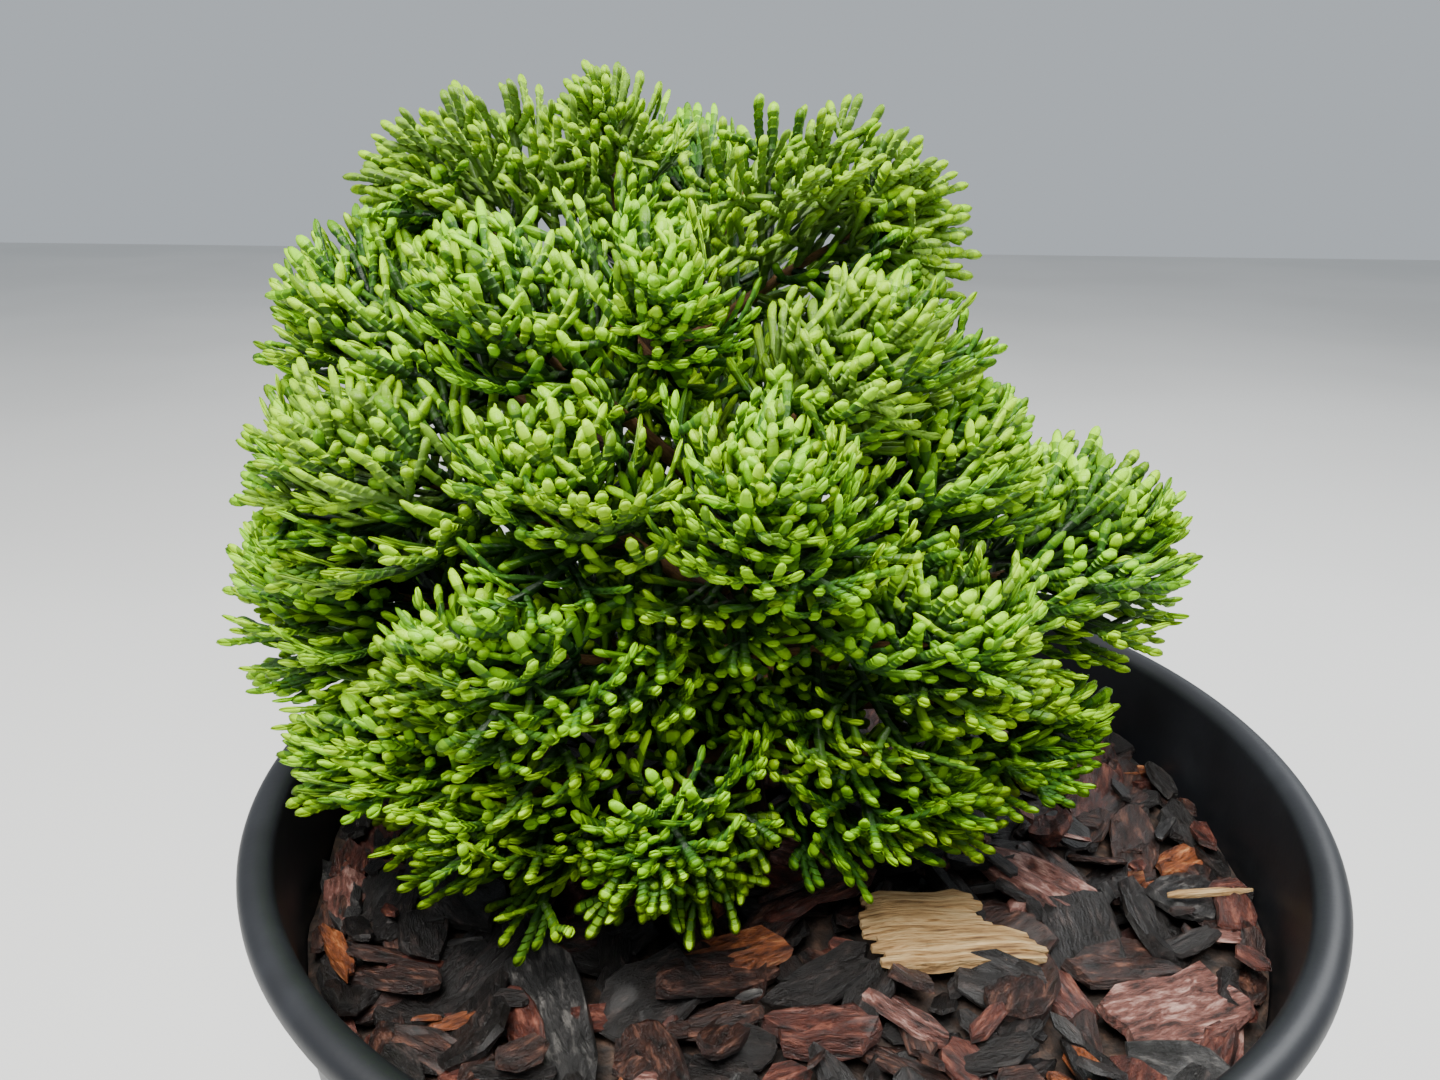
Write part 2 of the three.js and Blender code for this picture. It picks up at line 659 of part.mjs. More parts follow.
// One side of a fan's outline, from its foot to its tip: each branch is a blunt lobe,
// followed by the notch between it and the next
function lobeCorners(branches, length) {
  const half = LOBE_TIP_WIDTH / 2;
  const points = [];
  branches.forEach((branch, i) => {
    const dx = Math.cos(branch.angle);
    const dy = Math.sin(branch.angle);
    const tipX = branch.along + dx * branch.reach;
    const tipY = dy * branch.reach;
    const next = branches[i + 1];
    const nextAlong = next ? next.along : Math.min(length, branch.along + 2 * LOBE_SPACING);
    const notch = Math.max(0.3, NOTCH_SHARE * Math.min(branch.reach, next ? next.reach : LOBE_SHORTEST) - 1);
    points.push([tipX - half * dy, tipY + half * dx]);
    points.push([tipX + half * dy, tipY - half * dx]);
    points.push([(branch.along + nextAlong) / 2 + dx * notch, FAN_FOOT_WIDTH / 2 + dy * notch]);
  });
  return points;
}

// The fan as a cupped, toothed blade in place
function fanBlade(fan) {
  const half = LOBE_TIP_WIDTH / 2;
  const right = lobeCorners(fan.branches.filter((branch) => branch.hand < 0), fan.length);
  const left = lobeCorners(fan.branches.filter((branch) => branch.hand > 0), fan.length);
  const outline = [
    [-1, -FAN_FOOT_WIDTH / 2],
    ...right.map(([x, y]) => [x, -y]),
    [fan.length, -half],
    [fan.length, half],
    ...left.reverse(),
    [-1, FAN_FOOT_WIDTH / 2],
  ];
  const shape = new THREE.Shape(outline.map(([x, y]) => new THREE.Vector2(x, y)));
  const blade = new THREE.ExtrudeGeometry(shape, { depth: FAN_THICKNESS, steps: 1, bevelEnabled: false });
  const positions = blade.attributes.position;
  for (let i = 0; i < positions.count; i += 1) {
    const height = positions.getZ(i) - FAN_THICKNESS / 2;
    const point = fanPoint(fan, fan.length, positions.getX(i), positions.getY(i), height);
    positions.setXYZ(i, point.x, point.y, point.z);
  }
  return toSolid(blade);
}

// The lumpy core of a dense mass, cut back at the planes between it and its neighbours
function coreSolid(mass) {
  const ball = new THREE.IcosahedronGeometry(1, 0);
  const positions = ball.attributes.position;
  const point = new THREE.Vector3();
  const radius = mass.radius * CORE_SHARE * mass.core;
  const middle = mass.centre.clone().addScaledVector(mass.outward, -CORE_SETBACK * mass.radius);
  for (let i = 0; i < positions.count; i += 1) {
    point.fromBufferAttribute(positions, i);
    const lump = 1 + CORE_LUMPS * Math.sin(4 * point.x + mass.index) * Math.cos(5 * point.y + 3 * point.z);
    point.multiplyScalar(radius * lump).add(middle);
    positions.setXYZ(i, point.x, point.y, point.z);
  }
  let core = toSolid(ball);
  for (const other of crown) {
    if (other.index !== mass.index) {
      const toward = new THREE.Vector3().subVectors(mass.centre, other.centre);
      const apart = toward.length();
      toward.normalize();
      const share = (apart ** 2 + mass.radius ** 2 - other.radius ** 2) / (2 * apart);
      const offset = mass.centre.dot(toward) - share + SPACE_MARGIN;
      core = core.trimByPlane(toward.toArray(), offset);
    }
  }
  return core.trimByPlane([0, 0, 1], GROUND + MULCH_CLEARANCE);
}

function buildMass(mass, limbClearance) {
  let solid = limbSolid(mass.curve, stemStart(mass), 1, stemRadius(mass), STEM_SIDES, STEM_STEPS);
  if (mass.core > 0) {
    solid = solid.add(coreSolid(mass));
  }
  for (const order of SOLID_FANS) {
    const fan = growFan(mass, order);
    if (fan !== null) {
      solid = solid.add(fanBlade(fan));
    }
  }
  for (const limb of limbClearance) {
    if (limb.owner !== mass.index) {
      solid = solid.subtract(limb.solid);
    }
  }
  const finish = { color: FINISH.foliage[mass.index % FINISH.foliage.length], roughness: 0.55 };
  return namedMesh(`foliage_${mass.name}`, largestBody(solid), finish);
}

// The whole plant

const plant = new THREE.Group();
plant.add(buildPot());
plant.add(buildMulch());
plant.add(namedMesh('trunk', trunkSolid(0), FINISH.trunk));

// Each limb is cut clear of the trunk and of the limbs before it, and each mass of all
const limbClearance = [{ owner: -1, solid: trunkSolid(LIMB_GAP) }];
for (const mass of crown) {
  const wideStem = (along) => stemRadius(mass)(along) + LIMB_GAP;
  if (!mass.direct) {
    const wideBough = (along) => boughRadius(mass)(along) + LIMB_GAP;
    let bough = limbSolid(mass.curve, 0, mass.entry, boughRadius(mass), BOUGH_SIDES, BOUGH_STEPS);
    for (const limb of limbClearance) {
      bough = bough.subtract(limb.solid);
    }
    plant.add(namedMesh(`bough_${mass.name}`, largestBody(bough), FINISH.bough));
    const clearance = limbSolid(mass.curve, 0, mass.entry, wideBough, BOUGH_SIDES, BOUGH_STEPS);
    limbClearance.push({ owner: -1, solid: clearance });
  }
  const stem = limbSolid(mass.curve, stemStart(mass), 1, wideStem, STEM_SIDES, STEM_STEPS);
  limbClearance.push({ owner: mass.index, solid: stem });
}
for (const mass of crown) {
  plant.add(buildMass(mass, limbClearance));
}

export default plant;
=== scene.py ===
"""Looks of the potted dwarf false cypress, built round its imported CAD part.

Lengths in the source's rule are millimetres, +Z up, with the origin at the centre of
the pot's underside. A mesh takes metres, so its points are scaled as it is made.
"""

import math

import bpy
import numpy as np
from mathutils import Matrix, Vector, noise


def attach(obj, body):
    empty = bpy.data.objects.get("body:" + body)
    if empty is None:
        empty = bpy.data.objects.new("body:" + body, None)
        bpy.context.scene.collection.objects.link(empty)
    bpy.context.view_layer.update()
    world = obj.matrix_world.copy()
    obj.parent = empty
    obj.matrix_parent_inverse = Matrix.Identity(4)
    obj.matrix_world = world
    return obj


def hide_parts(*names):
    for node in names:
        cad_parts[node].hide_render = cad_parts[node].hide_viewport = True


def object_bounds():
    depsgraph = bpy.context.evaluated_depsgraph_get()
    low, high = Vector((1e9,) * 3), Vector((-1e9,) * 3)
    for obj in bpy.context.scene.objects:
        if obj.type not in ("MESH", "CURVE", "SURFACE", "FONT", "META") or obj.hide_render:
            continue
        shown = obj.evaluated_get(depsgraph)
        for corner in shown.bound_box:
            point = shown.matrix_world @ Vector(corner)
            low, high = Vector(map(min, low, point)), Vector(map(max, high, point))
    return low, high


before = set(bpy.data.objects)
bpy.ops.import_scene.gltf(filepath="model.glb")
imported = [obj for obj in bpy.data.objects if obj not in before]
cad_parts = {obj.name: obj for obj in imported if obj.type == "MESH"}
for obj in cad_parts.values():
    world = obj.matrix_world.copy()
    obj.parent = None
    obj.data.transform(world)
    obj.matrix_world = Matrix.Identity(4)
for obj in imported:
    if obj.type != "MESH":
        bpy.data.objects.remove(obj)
CAD_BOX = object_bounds()

MM = 0.001
UP = np.array([0.0, 0.0, 1.0])

# Pot
POT_HEIGHT = 190.0
POT_RIM_RADIUS = 100.0
POT_FOOT_RADIUS = 77.0
POT_FOOT_ROUND = 2.2
POT_WALL = 1.8
POT_FLOOR = 2.4
LIP_HEIGHT = 5.0
LIP_OVERHANG = 3.2
LIP_ROUND = 2.6
BAND_HEIGHT = 14.0
BAND_STEP = 1.0
POT_SIDES = 192
POT_SMOOTH_UNDER = 35.0
DRAIN_COUNT = 8
DRAIN_RADIUS = 5.0
DRAIN_CIRCLE = 58.0

# Mulch
GROUND = POT_HEIGHT - 24.0
MULCH_GAP = 0.3
MULCH_ROUGHNESS = 1.6
MULCH_WALL_RISE = 4.0
FOOT_CLEARING = 11.0
BED_DROP = 3.0
BED_CRUMB = 1.3
BED_RINGS = 44
BED_SIDES = 120

# Trunk, boughs and stems
TRUNK = np.array([
    [-8.0, 5.0, GROUND + 0.3],
    [-8.0, 5.0, POT_HEIGHT + 20],
    [-14.0, 10.0, POT_HEIGHT + 52],
    [-29.0, 12.0, POT_HEIGHT + 84],
])
TRUNK_FOOT_RADIUS = 4.6
TRUNK_TIP_RADIUS = 1.3
TRUNK_FLARE = 3.0
TRUNK_FLARE_LENGTH = 0.06
TRUNK_SAMPLES = 60
BOUGH_ROOT_RADIUS = 2.0
BOUGH_TIP_RADIUS = 1.3
BOUGH_RISE = 38.0
BOUGH_LOWEST_ROOT = 15.0
BOUGH_ROOT_LIFT = 0.6
BOUGH_HIGHEST_ROOT = 98.0
BOUGH_ROOT_STAGGER = 3.0
BOUGH_ENTRY = 0.88
BOUGH_ARCH = 0.1
BOUGH_SHORTEST = 12.0
TOP_REACH = 5.0
STEM_END = 0.5
STEM_TIP_RADIUS = 0.9
STEM_SAMPLES = 30
STEM_THINNING = 0.65
DIRECT_STEM_RADIUS = 1.7
RIDGES_ROUND = 2.2
RIDGES_ALONG = 0.16
RIDGE_LEVEL = 0.25

# Fans of foliage
FANS_PER_MASS = 14
FAN_THICKNESS = 2.0
FAN_SHARE_OF_MASS = 1.08
FAN_TIP_SHARE = 0.78
FAN_ANGLE_AT_ROOT = 88.0
FAN_ANGLE_AT_TIP = 24.0
FAN_ANGLE_PLAY = 16.0
FAN_FIRST = 0.12
FAN_LAST = 0.97
FAN_OFFSET = 0.6
FAN_SPIN = 137.5
FAN_SPIN_PLAY = 24.0
FAN_SPIN_BY_MASS = 50.0
FAN_LENGTH_PLAY = (0.85, 1.12)
FAN_FLATNESS = 0.8
FAN_ROLL = 60.0
FAN_CUP = 0.16
FAN_CUP_ACROSS = 1.6
FAN_SCALES = (1.0, 0.88, 0.76, 0.64, 0.52, 0.4)
FACING_OUTWARD = 0.5
TWIG_SCALES = (1.0, 0.75, 0.5)
TWIG_TEST_STEP = 2.0
LOBE_SPACING = 5.0
LOBE_SPACING_PLAY = (0.88, 1.12)
LOBE_ANGLE_AT_FOOT = 54.0
LOBE_ANGLE_AT_TIP = 36.0
LOBE_ANGLE_PLAY = 3.0
LOBE_FIRST = 0.2
LOBE_LAST = 6.5
LOBE_REACH = 0.6
LOBE_FILL = 2.6
LOBE_FOOT_SHARE = 0.7
LOBE_SHORTEST = 2.4
LOBE_TIP_WIDTH = 3.8

# Room for the foliage
SPACE_MARGIN = 0.3
LIMB_CLEARANCE = 1.4
MULCH_CLEARANCE = 8.5
POT_CLEARANCE = 8.5
RIM_CLEARANCE = 2.0
BOX_SLACK = 0.05
NEAR_MASS = 14.0
OUTSIDE_MASSES = 2.0
PAST_PLANE = 5.0

# Finer fans between the source's
FINER_FANS = 2
FINER_REACH = 0.97
FINER_DEPTH = 15.0
FINER_CUP = 0.34
FINER_TURN = 0.38
FINER_ROLL = 0.6
INWARD_LIMIT = -0.45

# Cords: the scale-leaved shoots that a fan is made of
SCALE_PERIOD = 1.45
SCALE_ROW = 0.9
SCALE_BASE = 0.78
SCALE_OPEN = 0.8
OLD_PERIOD = 4.0
DETAILED_REACH = 5.8
CORD_SHORTEST = 1.2
CORD_WIDTH = 1.06
CORD_DEPTH = 0.92
CORD_LIFT = 4.0
CORD_LIFT_POWER = 1.4
CORD_FOOT_SHARE = 0.82
CORD_BOW = 0.18
CORD_WIDTH_PLAY = (0.92, 1.08)
CORD_WIDTH_BY_RANK = (1.0, 1.0, 0.92)
BUD_LENGTH = 1.6
BUD_SWELL = 1.06
BUD_RINGS = [(0.38, 0.98), (0.76, 0.66)]

# Fine cords along the side branches
FINE_SPACING = 3.7
FINE_SPACING_PLAY = (0.85, 1.15)
FINE_FIRST = 0.22
FINE_LAST = 2.6
FINE_ANGLE = 32.0
FINE_ANGLE_PLAY = 8.0
FINE_RISE = (-4.0, 46.0)
FACE_FRONT_RISE = (-6.0, 24.0)
FINE_SHARE = 0.7
FINE_SHORTEST = 5.4
FINE_LONGEST = 12.0
FINE_LENGTH_PLAY = (0.85, 1.1)
FINE_HALF_WIDTH = 1.2
FINE_THICKNESS = 1.6
FILL_LIMIT = 10.0
FILL_SHARE = 0.7
FILL_PLAY = (0.8, 1.1)
FILL_SHORTEST = 1.2

# Shades of a cord from its tip inward, and how it changes with its place in the crown. Inward from the lime
# tip the green is partly the older leaves' own and partly painted shade, near black at the cords' feet.
SHADE_REACHES = (1.25, 3.4, 7.2, 11.0)
SHADE_COUNT = len(SHADE_REACHES) + 1
MARGIN_LIGHTER = 1
SPRAY_TONES = 3
# The pale tone is lighter and bluer inward: painted sky light on face-on sprays, mostly those of the top
# masses.
PALE_TONE = 3
PALE_SHARE = 0.88
DULL_SHARE = 0.25
# Painted shade deep in the crown, partly older leaves: how deep a cord's tip lies before it darkens, and how
# far back from its tip.
DARK_DEPTH = 10.0
DARK_FROM_TIP = 3.0
PLAIN_DEPTH = 11.5
BARE_DEPTH = 18.0
UPPER_SLIMMER = 0.86
UPPER_FROM = 35.0
UPPER_FULL = 85.0

# Short sprays on the trunk, the boughs and the upper stems
SPRAY_SPACING = 4.2
SPRAY_FIRST = 5.0
SPRAY_LENGTH = (12.0, 22.0)
SPRAY_ANGLE = 64.0
SPRAY_ROLL = 70.0
TRUNK_SPRAY_FIRST = 24.0
TRUNK_SPRAY_SPACING = 3.0
STEM_SPRAYS = 6
STEM_SPRAYS_ABOVE = 80.0
STEM_SPRAY_FIRST = 0.2
STEM_SPRAY_OFFSET = 0.7

# Seeds that keep one run of random numbers apart from the others
SEED_COUNT = 100000
FINER_SEED = 2003
CORD_SEED = 500009
TONE_SEED = 77
TRUNK_SEED = 7001
BOUGH_SEED = 8009
STEM_SEED = 9001
SEED_PER_MASS = 31
CHIP_SEED = 11

# Name, azimuth, reach, height above the rim, radius and what is unusual of each mass
MASSES = [
    ("top_leaders", 180, 3, 104, 25, {"slim": 0.75, "face_front": 1}),
    ("upper_left", 190, 22, 95, 31, {"flat": 0.6, "face_front": 1}),
    ("upper_right", 354, 29, 91, 34, {"flat": 0.6, "face_front": 1}),
    ("upper_back", 75, 20, 92, 33, {}),
    ("shoulder_left", 196, 40, 75, 33, {}),
    ("shoulder_front", 236, 25, 77, 33, {}),
    ("shoulder_right", 334, 30, 70, 35, {"pale": 0.6}),
    ("middle_left", 208, 47, 55, 36, {"pale": 0.4, "finer": 3}),
    ("middle_front_left", 246, 34, 54, 34, {}),
    ("middle_front", 290, 31, 52, 35, {"finer": 3}),
    ("middle_right", 346, 35, 50, 34, {"finer": 3}),
    ("middle_back_left", 148, 36, 56, 36, {"finer": 3}),
    ("middle_back", 98, 25, 58, 36, {"finer": 3}),
    ("middle_back_right", 38, 34, 56, 37, {"finer": 3}),
    ("far_right", 2, 61, 35, 32, {"flat": 0.7}),
    ("far_left", 197, 60, 33, 33, {"finer": 5}),
    ("inner_left", 232, 44, 31, 33, {}),
    ("inner_right", 322, 38, 30, 33, {}),
    ("low_left", 207, 54, 14, 33, {"droop": 4, "finer": 4}),
    ("low_front", 252, 34, 6, 29, {"droop": 6}),
    ("low_front_left", 223, 45, 6, 31, {"droop": 6}),
    ("low_front_right", 322, 32, 8, 30, {"droop": 5}),
    ("low_right", 355, 46, 10, 30, {"droop": 4}),
    ("low_back_left", 150, 48, 16, 36, {"droop": 4}),
    ("low_back", 92, 28, 14, 36, {"droop": 4, "finer": 3}),
    ("low_back_right", 35, 45, 16, 36, {"droop": 4}),
    ("top_right", 0, 16, 97, 23, {"slim": 0.85, "face_front": 1}),
    ("shoulder_middle", 286, 20, 82, 29, {}),
    ("low_middle", 290, 18, 13, 26, {"droop": 5}),
    ("heart", 275, 20, 27, 27, {}),
]


def mix(a, b, t):
    return a + (b - a) * t


def unit(vector):
    return vector / np.linalg.norm(vector)


def make_random(seed):
    """Seeded random numbers, the same as the source's."""
    state = (seed * 7919 + 12345) % 4294967296

    def draw():
        nonlocal state
        state = (state * 1664525 + 1013904223) % 4294967296
        return state / 4294967296

    draw()
    draw()
    return draw


def pick(span, draw):
    """A random number between two ends."""
    return mix(span[0], span[1], draw())


# The source's rule for limbs and masses


def tangent(curve, t):
    step = 0.0001
    return unit(curve(min(1, t + step)) - curve(max(0, t - step)))


def trunk_curve(t):
    s = 1 - t
    return s**3 * TRUNK[0] + 3 * s * s * t * TRUNK[1] + 3 * s * t * t * TRUNK[2] + t**3 * TRUNK[3]


def trunk_point(height):
    """The trunk's line at a height, found by halving."""
    low = 0.0
    high = 1.0
    for _ in range(30):
        middle = (low + high) / 2
        if trunk_curve(middle)[2] < height:
            low = middle
        else:
            high = middle
    return trunk_curve((low + high) / 2)


def trunk_radius(along):
    flare = TRUNK_FLARE * math.exp(-along / TRUNK_FLARE_LENGTH)
    return mix(TRUNK_FOOT_RADIUS, TRUNK_TIP_RADIUS, along) + flare


class Mass:
    """A mass's space, and the curve from the trunk to the end of its stem."""

    def __init__(self, index, row):
        self.index = index
        self.name, azimuth, reach, above_rim, self.radius, unusual = row
        self.slim = unusual.get("slim", 1)
        self.flat = unusual.get("flat", FAN_FLATNESS)
        self.face_front = unusual.get("face_front", 0)
        self.finer = unusual.get("finer", FINER_FANS)
        self.pale = unusual.get("pale", PALE_SHARE * self.face_front)
        droop = unusual.get("droop", 0)
        height = POT_HEIGHT + above_rim
        turn = math.radians(azimuth)
        self.outward = np.array([math.cos(turn), math.sin(turn), 0.0])
        self.centre = trunk_point(height) + self.outward * reach
        self.centre[2] = height
        on_top = reach < TOP_REACH
        stagger = BOUGH_ROOT_STAGGER * (((index * 2) % 5) - 2)
        wanted = height - reach * math.tan(math.radians(BOUGH_RISE)) + stagger
        lowest = GROUND + BOUGH_LOWEST_ROOT + BOUGH_ROOT_LIFT * above_rim + stagger
        root_height = min(max(wanted, lowest), GROUND + BOUGH_HIGHEST_ROOT)
        root = trunk_curve(1) if on_top else trunk_point(root_height)
        chord = self.centre - root
        span = np.linalg.norm(chord)
        end = self.centre + chord / span * STEM_END * self.radius
        end[2] -= droop
        bend = (root + end) / 2
        bend[2] += 0 if on_top else BOUGH_ARCH * span + droop
        self.points = (root, bend, end)
        to_entry = span - BOUGH_ENTRY * self.radius
        self.direct = to_entry < BOUGH_SHORTEST
        self.entry = 0 if self.direct else to_entry / (span + STEM_END * self.radius)

    def curve(self, t):
        root, bend, end = self.points
        s = 1 - t
        return s * s * root + 2 * s * t * bend + t * t * end

    def limb_radius(self, along):
        if along < self.entry:
            return mix(BOUGH_ROOT_RADIUS, BOUGH_TIP_RADIUS, along / self.entry)
        start = DIRECT_STEM_RADIUS if self.direct else BOUGH_TIP_RADIUS
        return mix(start, STEM_TIP_RADIUS, (along - self.entry) / (1 - self.entry))

    def stem_radius(self, along):
        """The stem as it looks, which thins to a twig at its end."""
        share = (along - self.entry) / (1 - self.entry)
        return self.limb_radius(along) * (1 - STEM_THINNING * share**2)


CROWN = [Mass(index, row) for index, row in enumerate(MASSES)]
CENTRES = np.array([mass.centre for mass in CROWN])
RADII = np.array([mass.radius for mass in CROWN], dtype=float)
TRUNK_OWNER = -1


def bough_owner(mass):
    return -2 - mass.index


def limb_samples():
    """Points along every limb, with their radius and whose they are."""
    owners = []
    points = []
    radii = []
    for i in range(TRUNK_SAMPLES + 1):
        along = i / TRUNK_SAMPLES
        owners.append(TRUNK_OWNER)
        points.append(trunk_curve(along))
        radii.append(trunk_radius(along))
    for mass in CROWN:
        for i in range(STEM_SAMPLES + 1):
            along = i / STEM_SAMPLES
            owners.append(mass.index if along >= mass.entry else bough_owner(mass))
            points.append(mass.curve(along))
            radii.append(mass.limb_radius(along))
    return np.array(owners), np.array(points), np.array(radii)


LIMB_OWNERS, LIMB_POINTS, LIMB_RADII = limb_samples()
BOX_LOW = np.array(CAD_BOX[0]) / MM - BOX_SLACK
BOX_HIGH = np.array(CAD_BOX[1]) / MM + BOX_SLACK


def depth_in_crown(point):
    """How far inside the masses a point is."""
    return (RADII - np.linalg.norm(CENTRES - point, axis=1)).max()


def in_reach(point):
    """Whether a point is above the mulch and inside the CAD model's box."""
    above = point[2] >= GROUND + MULCH_CLEARANCE
    return bool(above and (point >= BOX_LOW).all() and (point <= BOX_HIGH).all())


class Room:
    """Where the twigs on one limb may grow, and the other limbs that they keep clear of."""

    def __init__(self, owner, middle, reach):
        strange = LIMB_OWNERS != owner
        near = np.linalg.norm(LIMB_POINTS - middle, axis=1) < reach
        self.limb_points = LIMB_POINTS[strange & near]
        self.limb_reach = LIMB_RADII[strange & near] + LIMB_CLEARANCE

    def clears_limbs(self, points):
        gaps = np.linalg.norm(self.limb_points[None, :, :] - points[:, None, :], axis=2)
        return bool((gaps > self.limb_reach[None, :]).all())

    def holds(self, point, past):
        """Whether a point is in the plant's own reach and in or near a mass."""
        return in_reach(point) and bool(depth_in_crown(point) > -OUTSIDE_MASSES)


class MassRoom(Room):
    """The room of one mass: its ball, up to the planes that part it from the others."""

    def __init__(self, mass):
        super().__init__(mass.index, mass.centre, mass.radius + NEAR_MASS)
        self.mass = mass
        self.others = np.array([other.index for other in CROWN if other.index != mass.index])
        self.apart = np.linalg.norm(CENTRES[self.others] - mass.centre, axis=1)

    def holds(self, point, past):
        """Whether a point is in the ball and at most so far past the planes."""
        mass = self.mass
        dx, dy, dz = point - mass.centre
        reach = mass.radius if past < 0 else FINER_REACH * mass.radius
        if math.hypot(math.hypot(dx, dy) / mass.slim, dz) > reach or not in_reach(point):
            return False
        own = dx * dx + dy * dy + dz * dz - mass.radius**2
        theirs = ((CENTRES[self.others] - point) ** 2).sum(axis=1) - RADII[self.others] ** 2
        return bool((own - theirs <= 2 * past * self.apart).all())


ROOMS = [MassRoom(mass) for mass in CROWN]


def clear_of_pot(point):
    above = point[2] > POT_HEIGHT + RIM_CLEARANCE
    return above or math.hypot(point[0], point[1]) < POT_RIM_RADIUS - POT_CLEARANCE


# The source's rule for fans, carried on to finer twigs


class Fan:
    """A flat spray of cords: its foot, direction, face, length, seed and room."""

    def __init__(self, room, foot, direction, plane, length, seed, past):
        self.room = room
        self.foot = foot
        self.direction = direction
        self.plane = plane
        self.across = np.cross(plane, direction)
        self.length = length
        self.seed = seed
        self.past = past
        self.rise = FINE_RISE
        self.cup = FAN_CUP
        self.pale = 0

    def places(self, local):
        """Points of the fan in space: x along its axis, y across it, z out of its face."""
        x = local[:, 0:1]
        y = local[:, 1:2]
        z = local[:, 2:3] + self.cup * (x * x + FAN_CUP_ACROSS * y * y) / self.length
        return self.foot + x * self.direction + y * self.across + z * self.plane

    def fits(self, start, end, half, thickness, past, lift=0.0):
        """Whether a twig of this breadth keeps to the room and clear of other limbs."""
        dx = end[0] - start[0]
        dy = end[1] - start[1]
        reach = math.hypot(dx, dy)
        corners = []
        for hand in (-1, 1):
            for face in (-1, 1):
                x = end[0] - hand * half * dy / reach
                y = end[1] + hand * half * dx / reach
                corners.append([x, y, lift + face * thickness / 2])
        for corner in self.places(np.array(corners)):
            if not self.room.holds(corner, past) or not clear_of_pot(corner):
                return False
        steps = np.arange(TWIG_TEST_STEP, reach + 1, TWIG_TEST_STEP) / reach
        if len(steps) == 0:
            return True
        line = np.stack([start[0] + dx * steps, start[1] + dy * steps, lift * steps], axis=1)
        return self.room.clears_limbs(self.places(line))

    def twig_fits(self, start, end):
        return self.fits(start, end, LOBE_TIP_WIDTH / 2, FAN_THICKNESS, self.past)

    def cord_fits(self, start, end, lift):
        return self.fits(start, end, FINE_HALF_WIDTH, FINE_THICKNESS, PAST_PLANE, lift)

    def shrink_to_fit(self):
        """Take the largest size whose axis keeps to the room. False if there is none."""
        full = self.length
        for scale in FAN_SCALES:
            self.length = full * scale
            if self.twig_fits((0.0, 0.0), (self.length, 0.0)):
                return True
        return False

    def branches(self):
        """The side branches that the source gives the fan: foot, reach, turn, hand and tip."""
        draw = make_random(self.seed)
        found = []
        hand = -1 if draw() < 0.5 else 1
        along = LOBE_FIRST * self.length
        while along < self.length - LOBE_LAST:
            fullness = mix(LOBE_FOOT_SHARE, 1, min(1, along / self.length * LOBE_FILL))
            longest = (self.length - along) * LOBE_REACH * fullness + LOBE_SHORTEST
            steep = mix(LOBE_ANGLE_AT_FOOT, LOBE_ANGLE_AT_TIP, along / self.length)
            angle = math.radians(steep + LOBE_ANGLE_PLAY * (draw() - 0.5))
            for scale in TWIG_SCALES:
                reach = longest * scale
                tip = (along + reach * math.cos(angle), hand * reach * math.sin(angle))
                if self.twig_fits((along, 0.0), tip):
                    found.append(((along, 0.0), reach, hand * angle, hand, tip))
                    break
            along += LOBE_SPACING * pick(LOBE_SPACING_PLAY, draw)
            hand = -hand
        return found


def aim_fan(forward, facing, spin, angle, flat, roll):
    """The direction of a fan at an angle to its stem and spun round it, and its face's."""
    side = unit(np.cross(forward, facing))
    face = unit(np.cross(side, forward))
    sideways = unit(side * math.cos(spin) + face * flat * math.sin(spin))
    direction = unit(forward * math.cos(angle) + sideways * math.sin(angle))
    plane = unit(facing - direction * facing.dot(direction))
    return direction, plane * math.cos(roll) + np.cross(direction, plane) * math.sin(roll)


def mass_fan(mass, order, finer):
    """A mass's fan by the source's rule, or one of the finer ones between them, or None."""
    draw = make_random(mass.index * 101 + order * 7 + 3 + FINER_SEED * finer)
    terminal = order == FANS_PER_MASS - 1 and finer == 0
    share = (order + FAN_OFFSET + finer / (mass.finer + 1)) / FANS_PER_MASS
    along = mix(mass.entry, 1, FAN_LAST if terminal else mix(FAN_FIRST, FAN_LAST, share))
    upright = np.array([0.0, -mass.face_front, 1.0 - mass.face_front])
    facing = upright + FACING_OUTWARD * mass.outward
    turn = (order + FINER_TURN * finer) * FAN_SPIN + mass.index * FAN_SPIN_BY_MASS
    spin = math.radians(turn + FAN_SPIN_PLAY * (draw() - 0.5))
    steep = mix(FAN_ANGLE_AT_ROOT, FAN_ANGLE_AT_TIP, share) + FAN_ANGLE_PLAY * (draw() - 0.5)
    angle = 0 if terminal else math.radians(steep)
    roll = math.radians(FAN_ROLL * (draw() - 0.5)) * (FINER_ROLL if finer else 1)
    direction, plane = aim_fan(tangent(mass.curve, along), facing, spin, angle, mass.flat, roll)
    usual = mass.radius * FAN_SHARE_OF_MASS * mix(1, FAN_TIP_SHARE, share)
    length = usual * pick(FAN_LENGTH_PLAY, draw)
    seed = math.floor(draw() * SEED_COUNT)
    past = PAST_PLANE if finer else -SPACE_MARGIN
    fan = Fan(ROOMS[mass.index], mass.curve(along), direction, plane, length, seed, past)
    fan.pale = mass.pale
    if mass.face_front:
        fan.rise = FACE_FRONT_RISE
    elif finer:
        fan.cup = FINER_CUP
    if finer and direction.dot(mass.outward) < INWARD_LIMIT:
        return None
    if not fan.shrink_to_fit():
        return None
    tip = fan.places(np.array([[fan.length, 0.0, 0.0]]))[0]
    return None if finer and depth_in_crown(tip) > FINER_DEPTH else fan


def mass_fans(mass):
    found = []
    for order in range(FANS_PER_MASS):
        for finer in range(mass.finer + 1):
            found.append(mass_fan(mass, order, finer))
    return [fan for fan in found if fan is not None]


